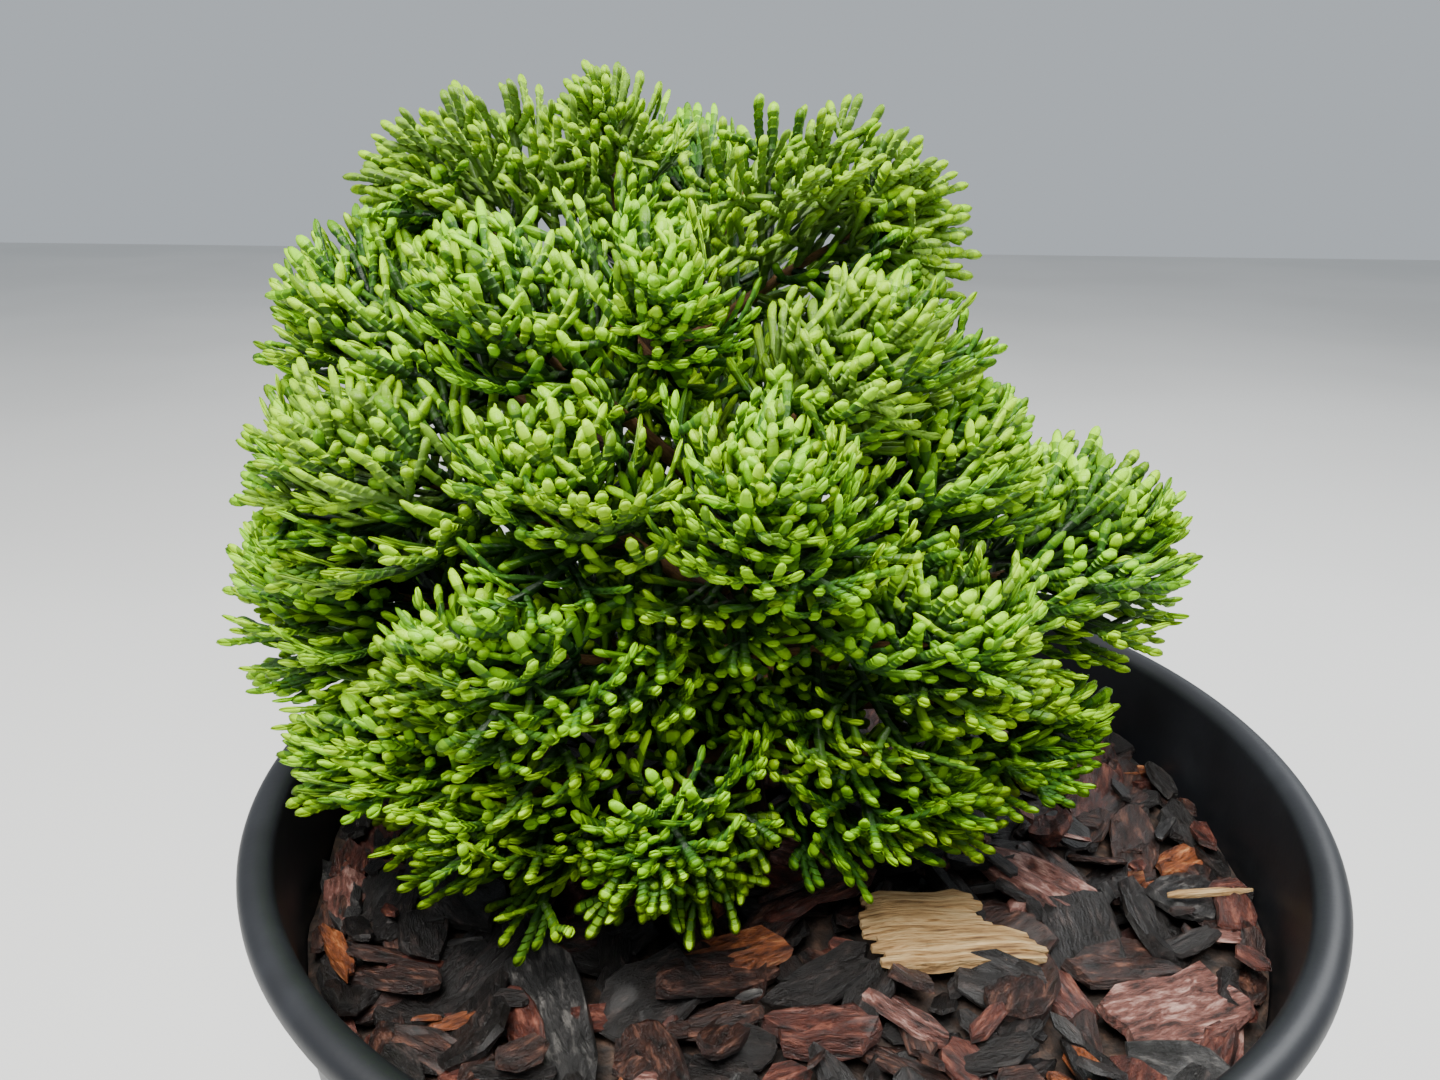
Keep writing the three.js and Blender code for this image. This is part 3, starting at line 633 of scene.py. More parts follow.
def limb_fan(room, curve, along, order, facing, seed):
    """A short spray on a limb, or None where it has no room."""
    draw = make_random(seed)
    spin = math.radians(order * FAN_SPIN + seed)
    angle = math.radians(SPRAY_ANGLE + FAN_ANGLE_PLAY * (draw() - 0.5))
    roll = math.radians(SPRAY_ROLL * (draw() - 0.5))
    direction, plane = aim_fan(tangent(curve, along), facing, spin, angle, 1, roll)
    length = pick(SPRAY_LENGTH, draw)
    own_seed = math.floor(draw() * SEED_COUNT)
    fan = Fan(room, curve(along), direction, plane, length, own_seed, PAST_PLANE)
    return fan if fan.shrink_to_fit() else None


def limb_fans():
    """The short sprays on the trunk, on every bough and on the upper stems."""
    found = []
    trunk_length = TRUNK[-1][2] - TRUNK[0][2]
    room = Room(TRUNK_OWNER, trunk_curve(0.5), trunk_length)
    for order in range(int((trunk_length - TRUNK_SPRAY_FIRST) / TRUNK_SPRAY_SPACING)):
        along = (TRUNK_SPRAY_FIRST + order * TRUNK_SPRAY_SPACING) / trunk_length
        facing = np.array([math.sin(order), -math.cos(order), 1.0])
        found.append(limb_fan(room, trunk_curve, along, order, facing, TRUNK_SEED + order))
    for mass in CROWN:
        if mass.direct:
            continue
        length = np.linalg.norm(mass.curve(mass.entry) - mass.curve(0))
        room = Room(bough_owner(mass), mass.curve(0.5 * mass.entry), length + SPRAY_LENGTH[1])
        facing = UP + FACING_OUTWARD * mass.outward
        for order in range(int((length - SPRAY_FIRST) / SPRAY_SPACING) + 1):
            along = mass.entry * (SPRAY_FIRST + order * SPRAY_SPACING) / length
            seed = BOUGH_SEED + SEED_PER_MASS * mass.index + order
            found.append(limb_fan(room, mass.curve, along, order, facing, seed))
    for mass in CROWN:
        if mass.centre[2] < POT_HEIGHT + STEM_SPRAYS_ABOVE:
            continue
        facing = UP + FACING_OUTWARD * mass.outward
        for order in range(STEM_SPRAYS):
            share = mix(STEM_SPRAY_FIRST, 1, (order + STEM_SPRAY_OFFSET) / STEM_SPRAYS)
            along = mix(mass.entry, 1, share)
            seed = STEM_SEED + SEED_PER_MASS * mass.index + order
            found.append(limb_fan(ROOMS[mass.index], mass.curve, along, order, facing, seed))
    return [fan for fan in found if fan is not None]


def fan_cords(fan):
    """Every cord of a fan: from, to, rank, how far its foot and tip leave the fan's face."""
    draw = make_random(fan.seed + CORD_SEED)
    cords = [((0.0, 0.0), (fan.length, 0.0), 0, 0.0, 0.0)]

    def add_fine(foot, lift, longest, angle):
        """A fine cord that rises out of the fan's face, at the largest size with room."""
        rise = math.radians(pick(fan.rise, draw))
        for scale in TWIG_SCALES:
            flat = longest * scale * math.cos(rise)
            raised = lift + longest * scale * math.sin(rise)
            tip = (foot[0] + flat * math.cos(angle), foot[1] + flat * math.sin(angle))
            if fan.cord_fits(foot, tip, raised):
                cords.append((foot, tip, 2, lift, raised))
                return

    for start, reach, steep, hand, tip in fan.branches():
        lift = CORD_LIFT * (draw() - 0.5)
        cords.append((start, tip, 1, 0.0, lift))
        if reach < FILL_LIMIT:
            fill = reach * FILL_SHARE * pick(FILL_PLAY, draw) + FILL_SHORTEST
            add_fine(start, 0.0, fill, -steep)
        along = FINE_FIRST * reach
        turn = -hand
        while along < reach - FINE_LAST:
            usual = min(FINE_LONGEST, (reach - along) * FINE_SHARE + FINE_SHORTEST)
            longest = usual * pick(FINE_LENGTH_PLAY, draw)
            angle = steep + turn * math.radians(FINE_ANGLE + FINE_ANGLE_PLAY * (draw() - 0.5))
            share = along / reach
            foot = (mix(start[0], tip[0], share), mix(start[1], tip[1], share))
            add_fine(foot, lift * share, longest, angle)
            along += FINE_SPACING * pick(FINE_SPACING_PLAY, draw)
            turn = -turn
    return cords


# Cord meshes

RING_ANGLES = np.radians([0, 60, 120, 180, 240, 300])
RING_IS_FACIAL = np.array([0, 1, 1, 0, 1, 1], dtype=float)
RING_SIZE = len(RING_ANGLES)
RING_WIDE = np.cos(RING_ANGLES)
RING_DEEP = np.sin(RING_ANGLES)


def scale_rows(body, hidden):
    """Lengths of a cord's rows of scales, from its foot: long ones, then short ones."""
    if hidden:
        count = max(1, round(body / OLD_PERIOD))
        return [body / count] * count
    detailed = min(body, DETAILED_REACH)
    count = max(1, round(detailed / SCALE_PERIOD))
    older_reach = body - detailed
    if older_reach > 0.5 * OLD_PERIOD:
        older = max(1, round(older_reach / OLD_PERIOD))
        return [older_reach / older] * older + [detailed / count] * count
    return [body / count] * count


def cord_rings(cord, width, hidden):
    """A cord's points, its number of rings, each ring's way to the tip, and its grain."""
    start, end, rank, foot_lift, tip_lift = cord
    dx = end[0] - start[0]
    dy = end[1] - start[1]
    reach = math.hypot(dx, dy)
    body = max(CORD_SHORTEST, reach - BUD_LENGTH)
    stations = []
    radii = []
    place = 0.0
    for row in scale_rows(body, hidden):
        stations += [place, place + SCALE_OPEN * row]
        radii += [SCALE_BASE, 1.0]
        place += row
    radii[-1] = BUD_SWELL
    bud = [body + place * BUD_LENGTH for place, _ in BUD_RINGS]
    radii += [radius for _, radius in BUD_RINGS]
    scales = np.array(stations)[:, None] + 0.5 * SCALE_PERIOD * RING_IS_FACIAL[None, :]
    bud_rows = np.repeat(np.array(bud)[:, None], RING_SIZE, axis=1)
    along = np.vstack([np.minimum(scales, body + 0.1), bud_rows])
    share = along / reach
    taper = mix(CORD_FOOT_SHARE, 1, share) if rank else 1.0
    breadth = width * np.array(radii)[:, None] * taper
    bow = CORD_BOW * reach * share * (1 - share) * np.sign(dy) * (rank > 0)
    sideways = CORD_WIDTH * breadth * RING_WIDE + bow
    tx = dx / reach
    ty = dy / reach
    x = start[0] + tx * along - ty * sideways
    y = start[1] + ty * along + tx * sideways
    z = CORD_DEPTH * breadth * RING_DEEP + mix(foot_lift, tip_lift, share**CORD_LIFT_POWER)
    end_at = body + BUD_LENGTH
    apex = [[start[0] + tx * end_at, start[1] + ty * end_at, tip_lift]]
    points = np.vstack([np.stack([x, y, z], axis=2).reshape(-1, 3), apex])
    around = [np.broadcast_to(ring, along.shape) for ring in (RING_WIDE, RING_DEEP)]
    grain = np.vstack([np.stack([along, *around], axis=2).reshape(-1, 3), [[end_at, 0.0, 0.0]]])
    return points, len(radii), reach - np.array(stations + bud), grain


def ring_faces(rings, sides, turned=False):
    """The quads between rings of points, and the triangles that close both ends.

    The two ends' middle points follow the rings'. Turned faces look the other way.
    """
    here = np.arange(sides)
    after = (here + 1) % sides
    start = np.arange(rings - 1)[:, None] * sides
    corners = [start + here, start + after, start + sides + after, start + sides + here]
    quads = np.stack(corners, axis=2).reshape(-1, 4)
    last = (rings - 1) * sides
    middle = np.full(sides, rings * sides)
    foot = np.stack([middle, after, here], axis=1)
    head = np.stack([middle + 1, last + here, last + after], axis=1)
    caps = np.vstack([foot, head])
    if turned:
        return quads[:, [0, 3, 2, 1]], caps[:, [0, 2, 1]]
    return quads, caps


def cord_faces(rings):
    """The quads between a cord's rings, and the triangles of its bud's end."""
    quads, _ = ring_faces(rings, RING_SIZE, True)
    last = (rings - 1) * RING_SIZE
    apex = rings * RING_SIZE
    return quads, np.array([[last + i, apex, last + (i + 1) % RING_SIZE] for i in range(RING_SIZE)])


class MeshParts:
    """Points and faces gathered for one mesh, with a material slot for each face."""

    def __init__(self):
        self.points = []
        self.quads = []
        self.quad_slots = []
        self.triangles = []
        self.triangle_slots = []
        self.grain = []
        self.rings = []
        self.ring_count = 0
        self.count = 0

    def add_crisp_rings(self, rings, size):
        """Mark the rings of the piece just added, whose own edges stay sharp."""
        ids = np.repeat(np.arange(rings) + self.ring_count, size)
        loose = len(self.points[-1]) - len(ids)
        self.rings.append(np.concatenate([ids, -1 - np.arange(loose)]))
        self.ring_count += rings

    def add(self, points, quads, quad_slots, triangles, triangle_slots, grain=None):
        """Add a piece. Its slots are one number, or one for each face."""
        self.quads.append(np.asarray(quads) + self.count)
        self.quad_slots.append(np.full(len(quads), quad_slots))
        self.triangles.append(np.asarray(triangles) + self.count)
        self.triangle_slots.append(np.full(len(triangles), triangle_slots))
        if grain is not None:
            self.grain.append(np.asarray(grain))
        self.points.append(np.asarray(points))
        self.count += len(points)

    def build(self, name, materials, smooth_under=None):
        """The object, in metres. Edges sharper than smooth_under degrees stay sharp."""
        points = np.vstack(self.points) * MM
        quads = np.vstack(self.quads)
        triangles = np.vstack(self.triangles)
        slots = np.concatenate(self.quad_slots + self.triangle_slots)
        mesh = bpy.data.meshes.new(name)
        mesh.vertices.add(len(points))
        mesh.vertices.foreach_set("co", points.astype(np.float32).ravel())
        loops = np.concatenate([quads.ravel(), triangles.ravel()]).astype(np.int32)
        mesh.loops.add(len(loops))
        mesh.loops.foreach_set("vertex_index", loops)
        quad_starts = np.arange(len(quads)) * 4
        triangle_starts = len(quads) * 4 + np.arange(len(triangles)) * 3
        starts = np.concatenate([quad_starts, triangle_starts]).astype(np.int32)
        mesh.polygons.add(len(starts))
        mesh.polygons.foreach_set("loop_start", starts)
        for material in materials:
            mesh.materials.append(material)
        mesh.polygons.foreach_set("material_index", slots.astype(np.int32))
        mesh.polygons.foreach_set("use_smooth", np.ones(len(slots), dtype=bool))
        if self.grain:
            attribute = mesh.attributes.new("grain", "FLOAT_VECTOR", "POINT")
            attribute.data.foreach_set("vector", np.vstack(self.grain).astype(np.float32).ravel())
        mesh.update(calc_edges=True)
        mesh.validate()
        if smooth_under is not None:
            mesh.set_sharp_from_angle(angle=math.radians(smooth_under))
        if self.rings:
            edges = np.zeros(len(mesh.edges) * 2, dtype=np.int32)
            mesh.edges.foreach_get("vertices", edges)
            ring = np.concatenate(self.rings)[edges.reshape(-1, 2)]
            sharp = mesh.attributes.new("sharp_edge", "BOOLEAN", "EDGE")
            sharp.data.foreach_set("value", (ring[:, 0] == ring[:, 1]) & (ring[:, 0] >= 0))
        item = bpy.data.objects.new(name, mesh)
        bpy.context.scene.collection.objects.link(item)
        return item


# Materials

COAT_ROUGHNESS = 0.3
LEAF_ROUGHNESS = 0.36
LEAF_SPECULAR = 0.17
PIT_SHARE = 0.3


class Surface:
    """A material in the making, whose colour, relief and gloss follow its nodes."""

    def __init__(self, name, roughness, coat=0.0):
        self.material = bpy.data.materials.new(name)
        self.material.use_nodes = True
        self.nodes = self.material.node_tree.nodes
        self.links = self.material.node_tree.links
        self.shader = self.nodes["Principled BSDF"]
        self.shader.inputs["Roughness"].default_value = roughness
        self.shader.inputs["Coat Weight"].default_value = coat
        self.shader.inputs["Coat Roughness"].default_value = COAT_ROUGHNESS

    def place(self):
        """The point in the object's own space."""
        return self.nodes.new("ShaderNodeTexCoord").outputs["Object"]

    def grain(self):
        """The point along and round the piece."""
        attribute = self.nodes.new("ShaderNodeAttribute")
        attribute.attribute_name = "grain"
        return attribute.outputs["Vector"]

    def add(self, kind, output, inputs, operation=None):
        """A new node's output. Its inputs are sockets to link, or values."""
        node = self.nodes.new(kind)
        if operation:
            node.operation = operation
        for name, value in inputs.items():
            if isinstance(value, bpy.types.NodeSocket):
                self.links.new(value, node.inputs[name])
            else:
                node.inputs[name].default_value = value
        return node.outputs[output]

    def math(self, operation, first, second=0.0):
        return self.add("ShaderNodeMath", "Value", {0: first, 1: second}, operation)

    def noise(self, source, scale, detail, rough=0.5):
        inputs = {"Vector": source, "Scale": scale, "Detail": detail, "Roughness": rough}
        return self.add("ShaderNodeTexNoise", "Fac", inputs)

    def to_shader(self, name, output):
        self.links.new(output, self.shader.inputs[name])

    def color_by(self, source, stops):
        ramp = self.nodes.new("ShaderNodeValToRGB")
        elements = ramp.color_ramp.elements
        while len(elements) < len(stops):
            elements.new(0.5)
        for element, (place, color) in zip(elements, stops):
            element.position = place
            element.color = (*color, 1)
        self.links.new(source, ramp.inputs["Fac"])
        self.to_shader("Base Color", ramp.outputs["Color"])

    def bump_by(self, height, strength, distance):
        inputs = {"Height": height, "Strength": strength, "Distance": distance}
        self.to_shader("Normal", self.add("ShaderNodeBump", "Normal", inputs))

    def rough_by(self, source, low, high):
        inputs = {"Value": source, "To Min": low, "To Max": high}
        self.to_shader("Roughness", self.add("ShaderNodeMapRange", "Result", inputs))


def leaf_material(name, color):
    """Glossy scale leaves: one plain colour, with relief in chevron rows and uneven gloss."""
    surface = Surface(name, LEAF_ROUGHNESS)
    surface.shader.inputs["Specular IOR Level"].default_value = LEAF_SPECULAR
    surface.shader.inputs["Base Color"].default_value = (*color, 1)
    grain = surface.grain()
    along = surface.add("ShaderNodeSeparateXYZ", "X", {"Vector": grain})
    deep = surface.add("ShaderNodeSeparateXYZ", "Z", {"Vector": grain})
    rows = surface.math("MULTIPLY", along, 1 / SCALE_ROW)
    chevron = surface.math("MULTIPLY", surface.math("ABSOLUTE", deep), -0.5)
    scale = surface.math("FRACT", surface.math("ADD", rows, chevron))
    place = surface.place()
    fine = surface.math("MULTIPLY", surface.noise(place, 1500, 2), 0.3)
    surface.bump_by(surface.math("ADD", scale, fine), 1.0, 0.0009)
    surface.rough_by(surface.noise(place, 260, 1), LEAF_ROUGHNESS - 0.1, LEAF_ROUGHNESS + 0.14)
    return surface.material


def grain_material(name, shades, stretch, relief, rough, coat=0.0):
    """Bark or wood: streaks that run along the piece, with pits and uneven gloss."""
    surface = Surface(name, rough[1], coat)
    stretched = surface.add("ShaderNodeVectorMath", "Vector", {0: surface.grain(), 1: stretch}, "MULTIPLY")
    streaks = surface.noise(stretched, 1.0, 7, 0.66)
    pits = surface.noise(stretched, 4.5, 4, 0.6)
    surface.color_by(streaks, shades)
    height = surface.math("ADD", surface.math("MULTIPLY", pits, PIT_SHARE), streaks)
    surface.bump_by(height, relief, 0.0016)
    surface.rough_by(pits, *rough)
    return surface.material


def foliage_materials():
    """Slots: for each tone of spray, its shades from the tips of the cords inward."""
    # From the tip inward: lime young growth, then older, darker leaves, darkened further toward the cords'
    # feet by painted shade, near black at deep.
    shades = [
        ("tip", (0.335, 0.70, 0.0005)),
        ("young", (0.124, 0.295, 0.005)),
        ("leaf", (0.052, 0.152, 0.012)),
        ("old_and_shaded", (0.030, 0.088, 0.010)),
        ("deep", (0.008, 0.029, 0.004)),
    ]
    # Painted sky light: the pale tone's inner shades are lighter and bluer, with less painted shade, for
    # face-on sprays mostly at the top of the crown.
    pale_shades = [
        ("tip", (0.31, 0.59, 0.002)),
        ("young", (0.185, 0.36, 0.022)),
        ("leaf", (0.145, 0.285, 0.028)),
        ("old_and_shaded", (0.11, 0.22, 0.024)),
        ("deep", (0.068, 0.14, 0.016)),
    ]
    tones = [
        ("warm", shades, (1.12, 1.0, 0.9)),
        ("plain", shades, (1.0, 1.0, 1.0)),
        ("cool", shades, (0.84, 0.95, 1.1)),
        ("pale", pale_shades, (1.0, 1.0, 1.0)),
    ]
    materials = []
    for tone, colors, tint in tones:
        for shade, color in colors:
            tinted = [value * factor for value, factor in zip(color, tint)]
            materials.append(leaf_material(f"leaf_{tone}_{shade}", tinted))
    return materials


# Foliage

LEAVES = foliage_materials()


def shade_of(out, darker):
    """Which shade of green a band wears, by its distance in from the cord's tip. The darker inner shades are
    partly painted shade.
    """
    shade = np.searchsorted(SHADE_REACHES, out)
    return np.minimum(shade + darker, SHADE_COUNT - 1)


def add_cord(parts, fan, cord, tone, inner, draw):
    """A cord in its shades. Deep in the crown it is darker, partly for its older leaves and partly as painted
    shade, and plainer, or left out.
    """
    end, rank, tip_lift = cord[1], cord[2], cord[4]
    above = (fan.foot[2] - POT_HEIGHT - UPPER_FROM) / (UPPER_FULL - UPPER_FROM)
    slimmer = mix(1, UPPER_SLIMMER, min(1, max(0, above)))
    width = pick(CORD_WIDTH_PLAY, draw) * CORD_WIDTH_BY_RANK[rank] * slimmer
    dull = 1 if draw() < DULL_SHARE else 0
    tip = fan.places(np.array([[end[0], end[1], tip_lift]]))[0]
    depth = depth_in_crown(tip)
    if rank == 2 and depth > BARE_DEPTH and not inner:
        return
    local, rings, out, grain = cord_rings(cord, width, depth > PLAIN_DEPTH)
    quads, caps = cord_faces(rings)
    # Painted shade, partly older leaves: a cord whose tip lies deep in the crown is one shade darker back
    # from its tip.
    darker = 1 if depth > DARK_DEPTH else 0
    bands = shade_of(out[1:], darker * (out[1:] > DARK_FROM_TIP) + dull)
    slots = np.repeat(bands, RING_SIZE).reshape(rings - 1, RING_SIZE)
    scale_rings = rings - 1 - len(BUD_RINGS)
    margins = np.arange(1, scale_rings, 2)
    slots[margins] = np.maximum(slots[margins] - MARGIN_LIGHTER, 0)
    first_slot = tone * SHADE_COUNT
    parts.add(fan.places(local), quads, slots.ravel() + first_slot, caps, first_slot + dull, grain)
    parts.add_crisp_rings(scale_rings, RING_SIZE)


def add_fan(parts, fan, inner=False):
    draw = make_random(fan.seed + TONE_SEED)
    tone = PALE_TONE if draw() < fan.pale else int(SPRAY_TONES * draw())
    for cord in fan_cords(fan):
        add_cord(parts, fan, cord, tone, inner, draw)


GROUPS = {
    "foliage_top": ["top_leaders", "top_right", "upper_left", "upper_right", "upper_back"],
    "foliage_shoulder": [
        "shoulder_left", "shoulder_front", "shoulder_middle", "shoulder_right", "middle_left",
    ],
    "foliage_middle_front": [
        "middle_front_left", "middle_front", "middle_right", "inner_left", "heart",
    ],
    "foliage_middle_back": ["middle_back_left", "middle_back", "middle_back_right"],
    "foliage_low_front": [
        "far_left", "inner_right", "low_left", "low_front", "low_front_left", "low_middle",
    ],
    "foliage_low_right": ["low_front_right", "low_right", "low_back_right", "far_right"],
    "foliage_low_back": ["low_back_left", "low_back"],
}


def build_foliage():
    by_name = {mass.name: mass for mass in CROWN}
    for group, names in GROUPS.items():
        parts = MeshParts()
        for name in names:
            for fan in mass_fans(by_name[name]):
                add_fan(parts, fan)
        piece = parts.build(group, LEAVES)
        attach(piece, "root")
        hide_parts(*[f"foliage_{name}" for name in names])
    parts = MeshParts()
    for fan in limb_fans():
        add_fan(parts, fan, True)
    piece = parts.build("foliage_inner", LEAVES)
    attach(piece, "root")


# Limbs


def add_limb(parts, curve, ends, radius_at, seed, sides, steps, roughness):
    """A tapering limb with bark relief, closed at both ends."""
    points = []
    grain = []
    length = 0.0
    before = curve(ends[0])
    for ring in range(steps + 1):
        along = mix(ends[0], ends[1], ring / steps)
        centre = curve(along)
        length += np.linalg.norm(centre - before)
        before = centre
        direction = tangent(curve, along)
        reference = np.array([0.0, 1.0, 0.0]) if abs(direction[2]) > 0.9 else UP
        side = unit(np.cross(direction, reference))
        face = unit(np.cross(side, direction))
        radius = radius_at(along)
        for i in range(sides):
            angle = 2 * math.pi * i / sides
            wide = math.cos(angle)
            deep = math.sin(angle)
            spot = Vector((RIDGES_ROUND * wide, RIDGES_ROUND * deep, RIDGES_ALONG * length + seed))
            scale = 1 + roughness * (noise.noise(spot) - RIDGE_LEVEL)
            points.append(centre + (side * wide + face * deep) * radius * scale)
            grain.append([radius * wide, length, radius * deep + 7 * seed])
    points += [curve(end) for end in ends]
    grain += [grain[0], grain[-1]]
    quads, caps = ring_faces(steps + 1, sides)
    parts.add(points, quads, 0, caps, 0, grain)


def build_limbs():
    # Both barks are their own brown darkened by painted shade, so that the limbs within the crown sink into
    # its shadow.
    bark = grain_material(
        "trunk_bark",
        [(0.3, (0.012, 0.007, 0.004)), (0.5, (0.05, 0.025, 0.013)), (0.72, (0.13, 0.072, 0.04))],
        stretch=(1.6, 0.22, 1.6), relief=0.8, rough=(0.7, 0.92),
    )
    twig_bark = grain_material(
        "twig_bark",
        [(0.3, (0.05, 0.022, 0.009)), (0.5, (0.15, 0.07, 0.024)), (0.7, (0.28, 0.14, 0.05))],
        stretch=(0.9, 0.25, 1.0), relief=0.6, rough=(0.55, 0.8),
    )
    trunk = MeshParts()
    add_limb(trunk, trunk_curve, (0, 1), trunk_radius, 3, sides=28, steps=90, roughness=0.22)
    piece = trunk.build("trunk_bark", [bark])
    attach(piece, "root")
    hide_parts("trunk")
    boughs = MeshParts()
    stems = MeshParts()
    bough_names = []
    bough_look = {"sides": 12, "steps": 30, "roughness": 0.2}
    stem_look = {"sides": 8, "steps": 16, "roughness": 0.16}
    for mass in CROWN:
        if not mass.direct:
            add_limb(boughs, mass.curve, (0, mass.entry), mass.limb_radius, mass.index, **bough_look)
            bough_names.append(f"bough_{mass.name}")
        add_limb(stems, mass.curve, (mass.entry, 1), mass.stem_radius, mass.index + 40, **stem_look)
    piece = boughs.build("bough_bark", [bark])
    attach(piece, "root")
    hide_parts(*bough_names)
    piece = stems.build("stem_bark", [twig_bark])
    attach(piece, "root")


# Pot


def pot_outer(z):
    return mix(POT_FOOT_RADIUS, POT_RIM_RADIUS - LIP_OVERHANG - BAND_STEP, z / POT_HEIGHT)


def arc(centre, radii, start, end, steps):
    """Points of an elliptical arc in the pot's profile, from one angle to another."""
    found = []
    for i in range(steps + 1):
        angle = math.radians(mix(start, end, i / steps))
        found.append((centre[0] + radii[0] * math.cos(angle), centre[1] + radii[1] * math.sin(angle)))
    return found


def pot_profile():
    """Radius and height of the pot's rings: up its outside, over the lip and down inside."""
    lip_foot = POT_HEIGHT - LIP_HEIGHT
    band_foot = lip_foot - BAND_HEIGHT
    lip_inner = pot_outer(POT_HEIGHT) - POT_WALL
    lip_middle = (POT_RIM_RADIUS + lip_inner) / 2
    half_lip = (POT_RIM_RADIUS - lip_inner) / 2
    floor_edge = pot_outer(POT_FLOOR) - POT_WALL
    foot_round = (POT_FOOT_ROUND, POT_FOOT_ROUND)
    profile = [(POT_FOOT_RADIUS - 2.4, 0.0)]
    profile += arc((pot_outer(2) - POT_FOOT_ROUND, POT_FOOT_ROUND), foot_round, -90, 0, 5)
    profile += [(pot_outer(z), z) for z in np.linspace(12, band_foot, 12)]
    profile += [
        (pot_outer(band_foot) + 0.7 * BAND_STEP, band_foot + 0.4),
        (pot_outer(band_foot) + BAND_STEP, band_foot + 1.2),
        (pot_outer(lip_foot) + BAND_STEP, lip_foot - 0.6),
        (POT_RIM_RADIUS - 1.2, lip_foot),
        (POT_RIM_RADIUS - 0.3, lip_foot + 0.5),
        (POT_RIM_RADIUS, lip_foot + 1.4),
    ]
    profile += arc((lip_middle, POT_HEIGHT - LIP_ROUND), (half_lip, LIP_ROUND), 0, 180, 14)
    profile += [(pot_outer(z) - POT_WALL, z) for z in np.linspace(POT_HEIGHT - 6, POT_FLOOR + 2, 12)]
    profile += [(floor_edge - 1.2, POT_FLOOR + 0.3), (floor_edge - 2.4, POT_FLOOR)]
    return profile


def ring_points(radius, z, sides):
    """Points round the pot's axis."""
    angles = [2 * math.pi * i / sides for i in range(sides)]
    return [(radius * math.cos(angle), radius * math.sin(angle), z) for angle in angles]


def plastic_material():
    surface = Surface("pot_plastic", 0.44)
    place = surface.place()
    cloud = surface.noise(place, 38, 5)
    shades = [(0.35, (0.004, 0.0045, 0.006)), (0.62, (0.008, 0.009, 0.012)), (0.8, (0.018, 0.02, 0.025))]
    surface.color_by(cloud, shades)
    surface.bump_by(surface.noise(place, 900, 3), 0.12, 0.0002)
    surface.rough_by(cloud, 0.36, 0.54)
    return surface.material


def build_pot():
    """The pot as a smooth turned shell, with drain holes through its floor."""
    profile = pot_profile()
    points = []
    for radius, z in profile:
        points += ring_points(radius, z, POT_SIDES)
    points += [(0.0, 0.0, 0.0), (0.0, 0.0, POT_FLOOR)]
    quads, caps = ring_faces(len(profile), POT_SIDES)
    parts = MeshParts()
    parts.add(points, quads, 0, caps, 0)
    pot = parts.build("pot_shell", [plastic_material()])
    for i in range(DRAIN_COUNT):
        angle = 2 * math.pi * (i + 0.5) / DRAIN_COUNT
        bpy.ops.mesh.primitive_cylinder_add(
            vertices=32,
            radius=DRAIN_RADIUS * MM,
            depth=4 * POT_FLOOR * MM,
            location=(DRAIN_CIRCLE * math.cos(angle) * MM, DRAIN_CIRCLE * math.sin(angle) * MM, 0),
        )
        drain = bpy.context.object
        cut = pot.modifiers.new("drain", "BOOLEAN")
        cut.operation = "DIFFERENCE"
        cut.object = drain
        cut.solver = "EXACT"
        bpy.context.view_layer.objects.active = pot
        bpy.ops.object.modifier_apply(modifier=cut.name)
        bpy.data.objects.remove(drain, do_unlink=True)
    pot.data.polygons.foreach_set("use_smooth", np.ones(len(pot.data.polygons), dtype=bool))
    pot.data.set_sharp_from_angle(angle=math.radians(POT_SMOOTH_UNDER))
    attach(pot, "root")
    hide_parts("pot")


# Mulch


def from_trunk(x, y):
    return math.hypot(x - TRUNK[0][0], y - TRUNK[0][1])


def mulch_top(x, y):
    rough = min(1, max(0, (from_trunk(x, y) - FOOT_CLEARING) / FOOT_CLEARING))
    wall = (math.hypot(x, y) / POT_RIM_RADIUS) ** 3
    heave = math.sin(x * 0.13 + 1) * math.cos(y * 0.11) + 0.6 * math.sin(x * 0.05 - y * 0.17)
    return GROUND + rough * (MULCH_ROUGHNESS * heave + MULCH_WALL_RISE * wall)


def bed_material():
    surface = Surface("mulch_bed", 0.9)
    crumbs = surface.noise(surface.place(), 330, 6)
    shades = [(0.36, (0.006, 0.004, 0.003)), (0.55, (0.03, 0.017, 0.011)), (0.75, (0.085, 0.045, 0.028))]
    surface.color_by(crumbs, shades)
    surface.bump_by(crumbs, 0.9, 0.002)
    surface.rough_by(crumbs, 0.7, 0.95)
    return surface.material


def build_bed():
    """The body of mix below the chips: a crumbly top, and plain sides and underside."""
    floor = POT_FLOOR + MULCH_GAP
    radius = pot_outer(GROUND) - POT_WALL - MULCH_GAP
    points = []
    for ring in range(1, BED_RINGS + 1):
        for x, y, _ in ring_points(radius * ring / BED_RINGS, 0.0, BED_SIDES):
            coarse = noise.noise(Vector((0.16 * x, 0.16 * y, 4)))
            fine = noise.noise(Vector((0.45 * x, 0.45 * y, 9)))
            points.append((x, y, mulch_top(x, y) - BED_DROP + BED_CRUMB * (coarse + 0.6 * fine)))
    points += ring_points(pot_outer(floor) - POT_WALL - MULCH_GAP, floor, BED_SIDES)
    points += [(0.0, 0.0, mulch_top(0, 0) - BED_DROP), (0.0, 0.0, floor)]
    quads, caps = ring_faces(BED_RINGS + 1, BED_SIDES, True)
    parts = MeshParts()
    parts.add(points, quads, 0, caps, 0)
    bed = parts.build("mulch_bed", [bed_material()])
    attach(bed, "root")
    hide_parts("bark_mulch")


# Chips and splinters of wood

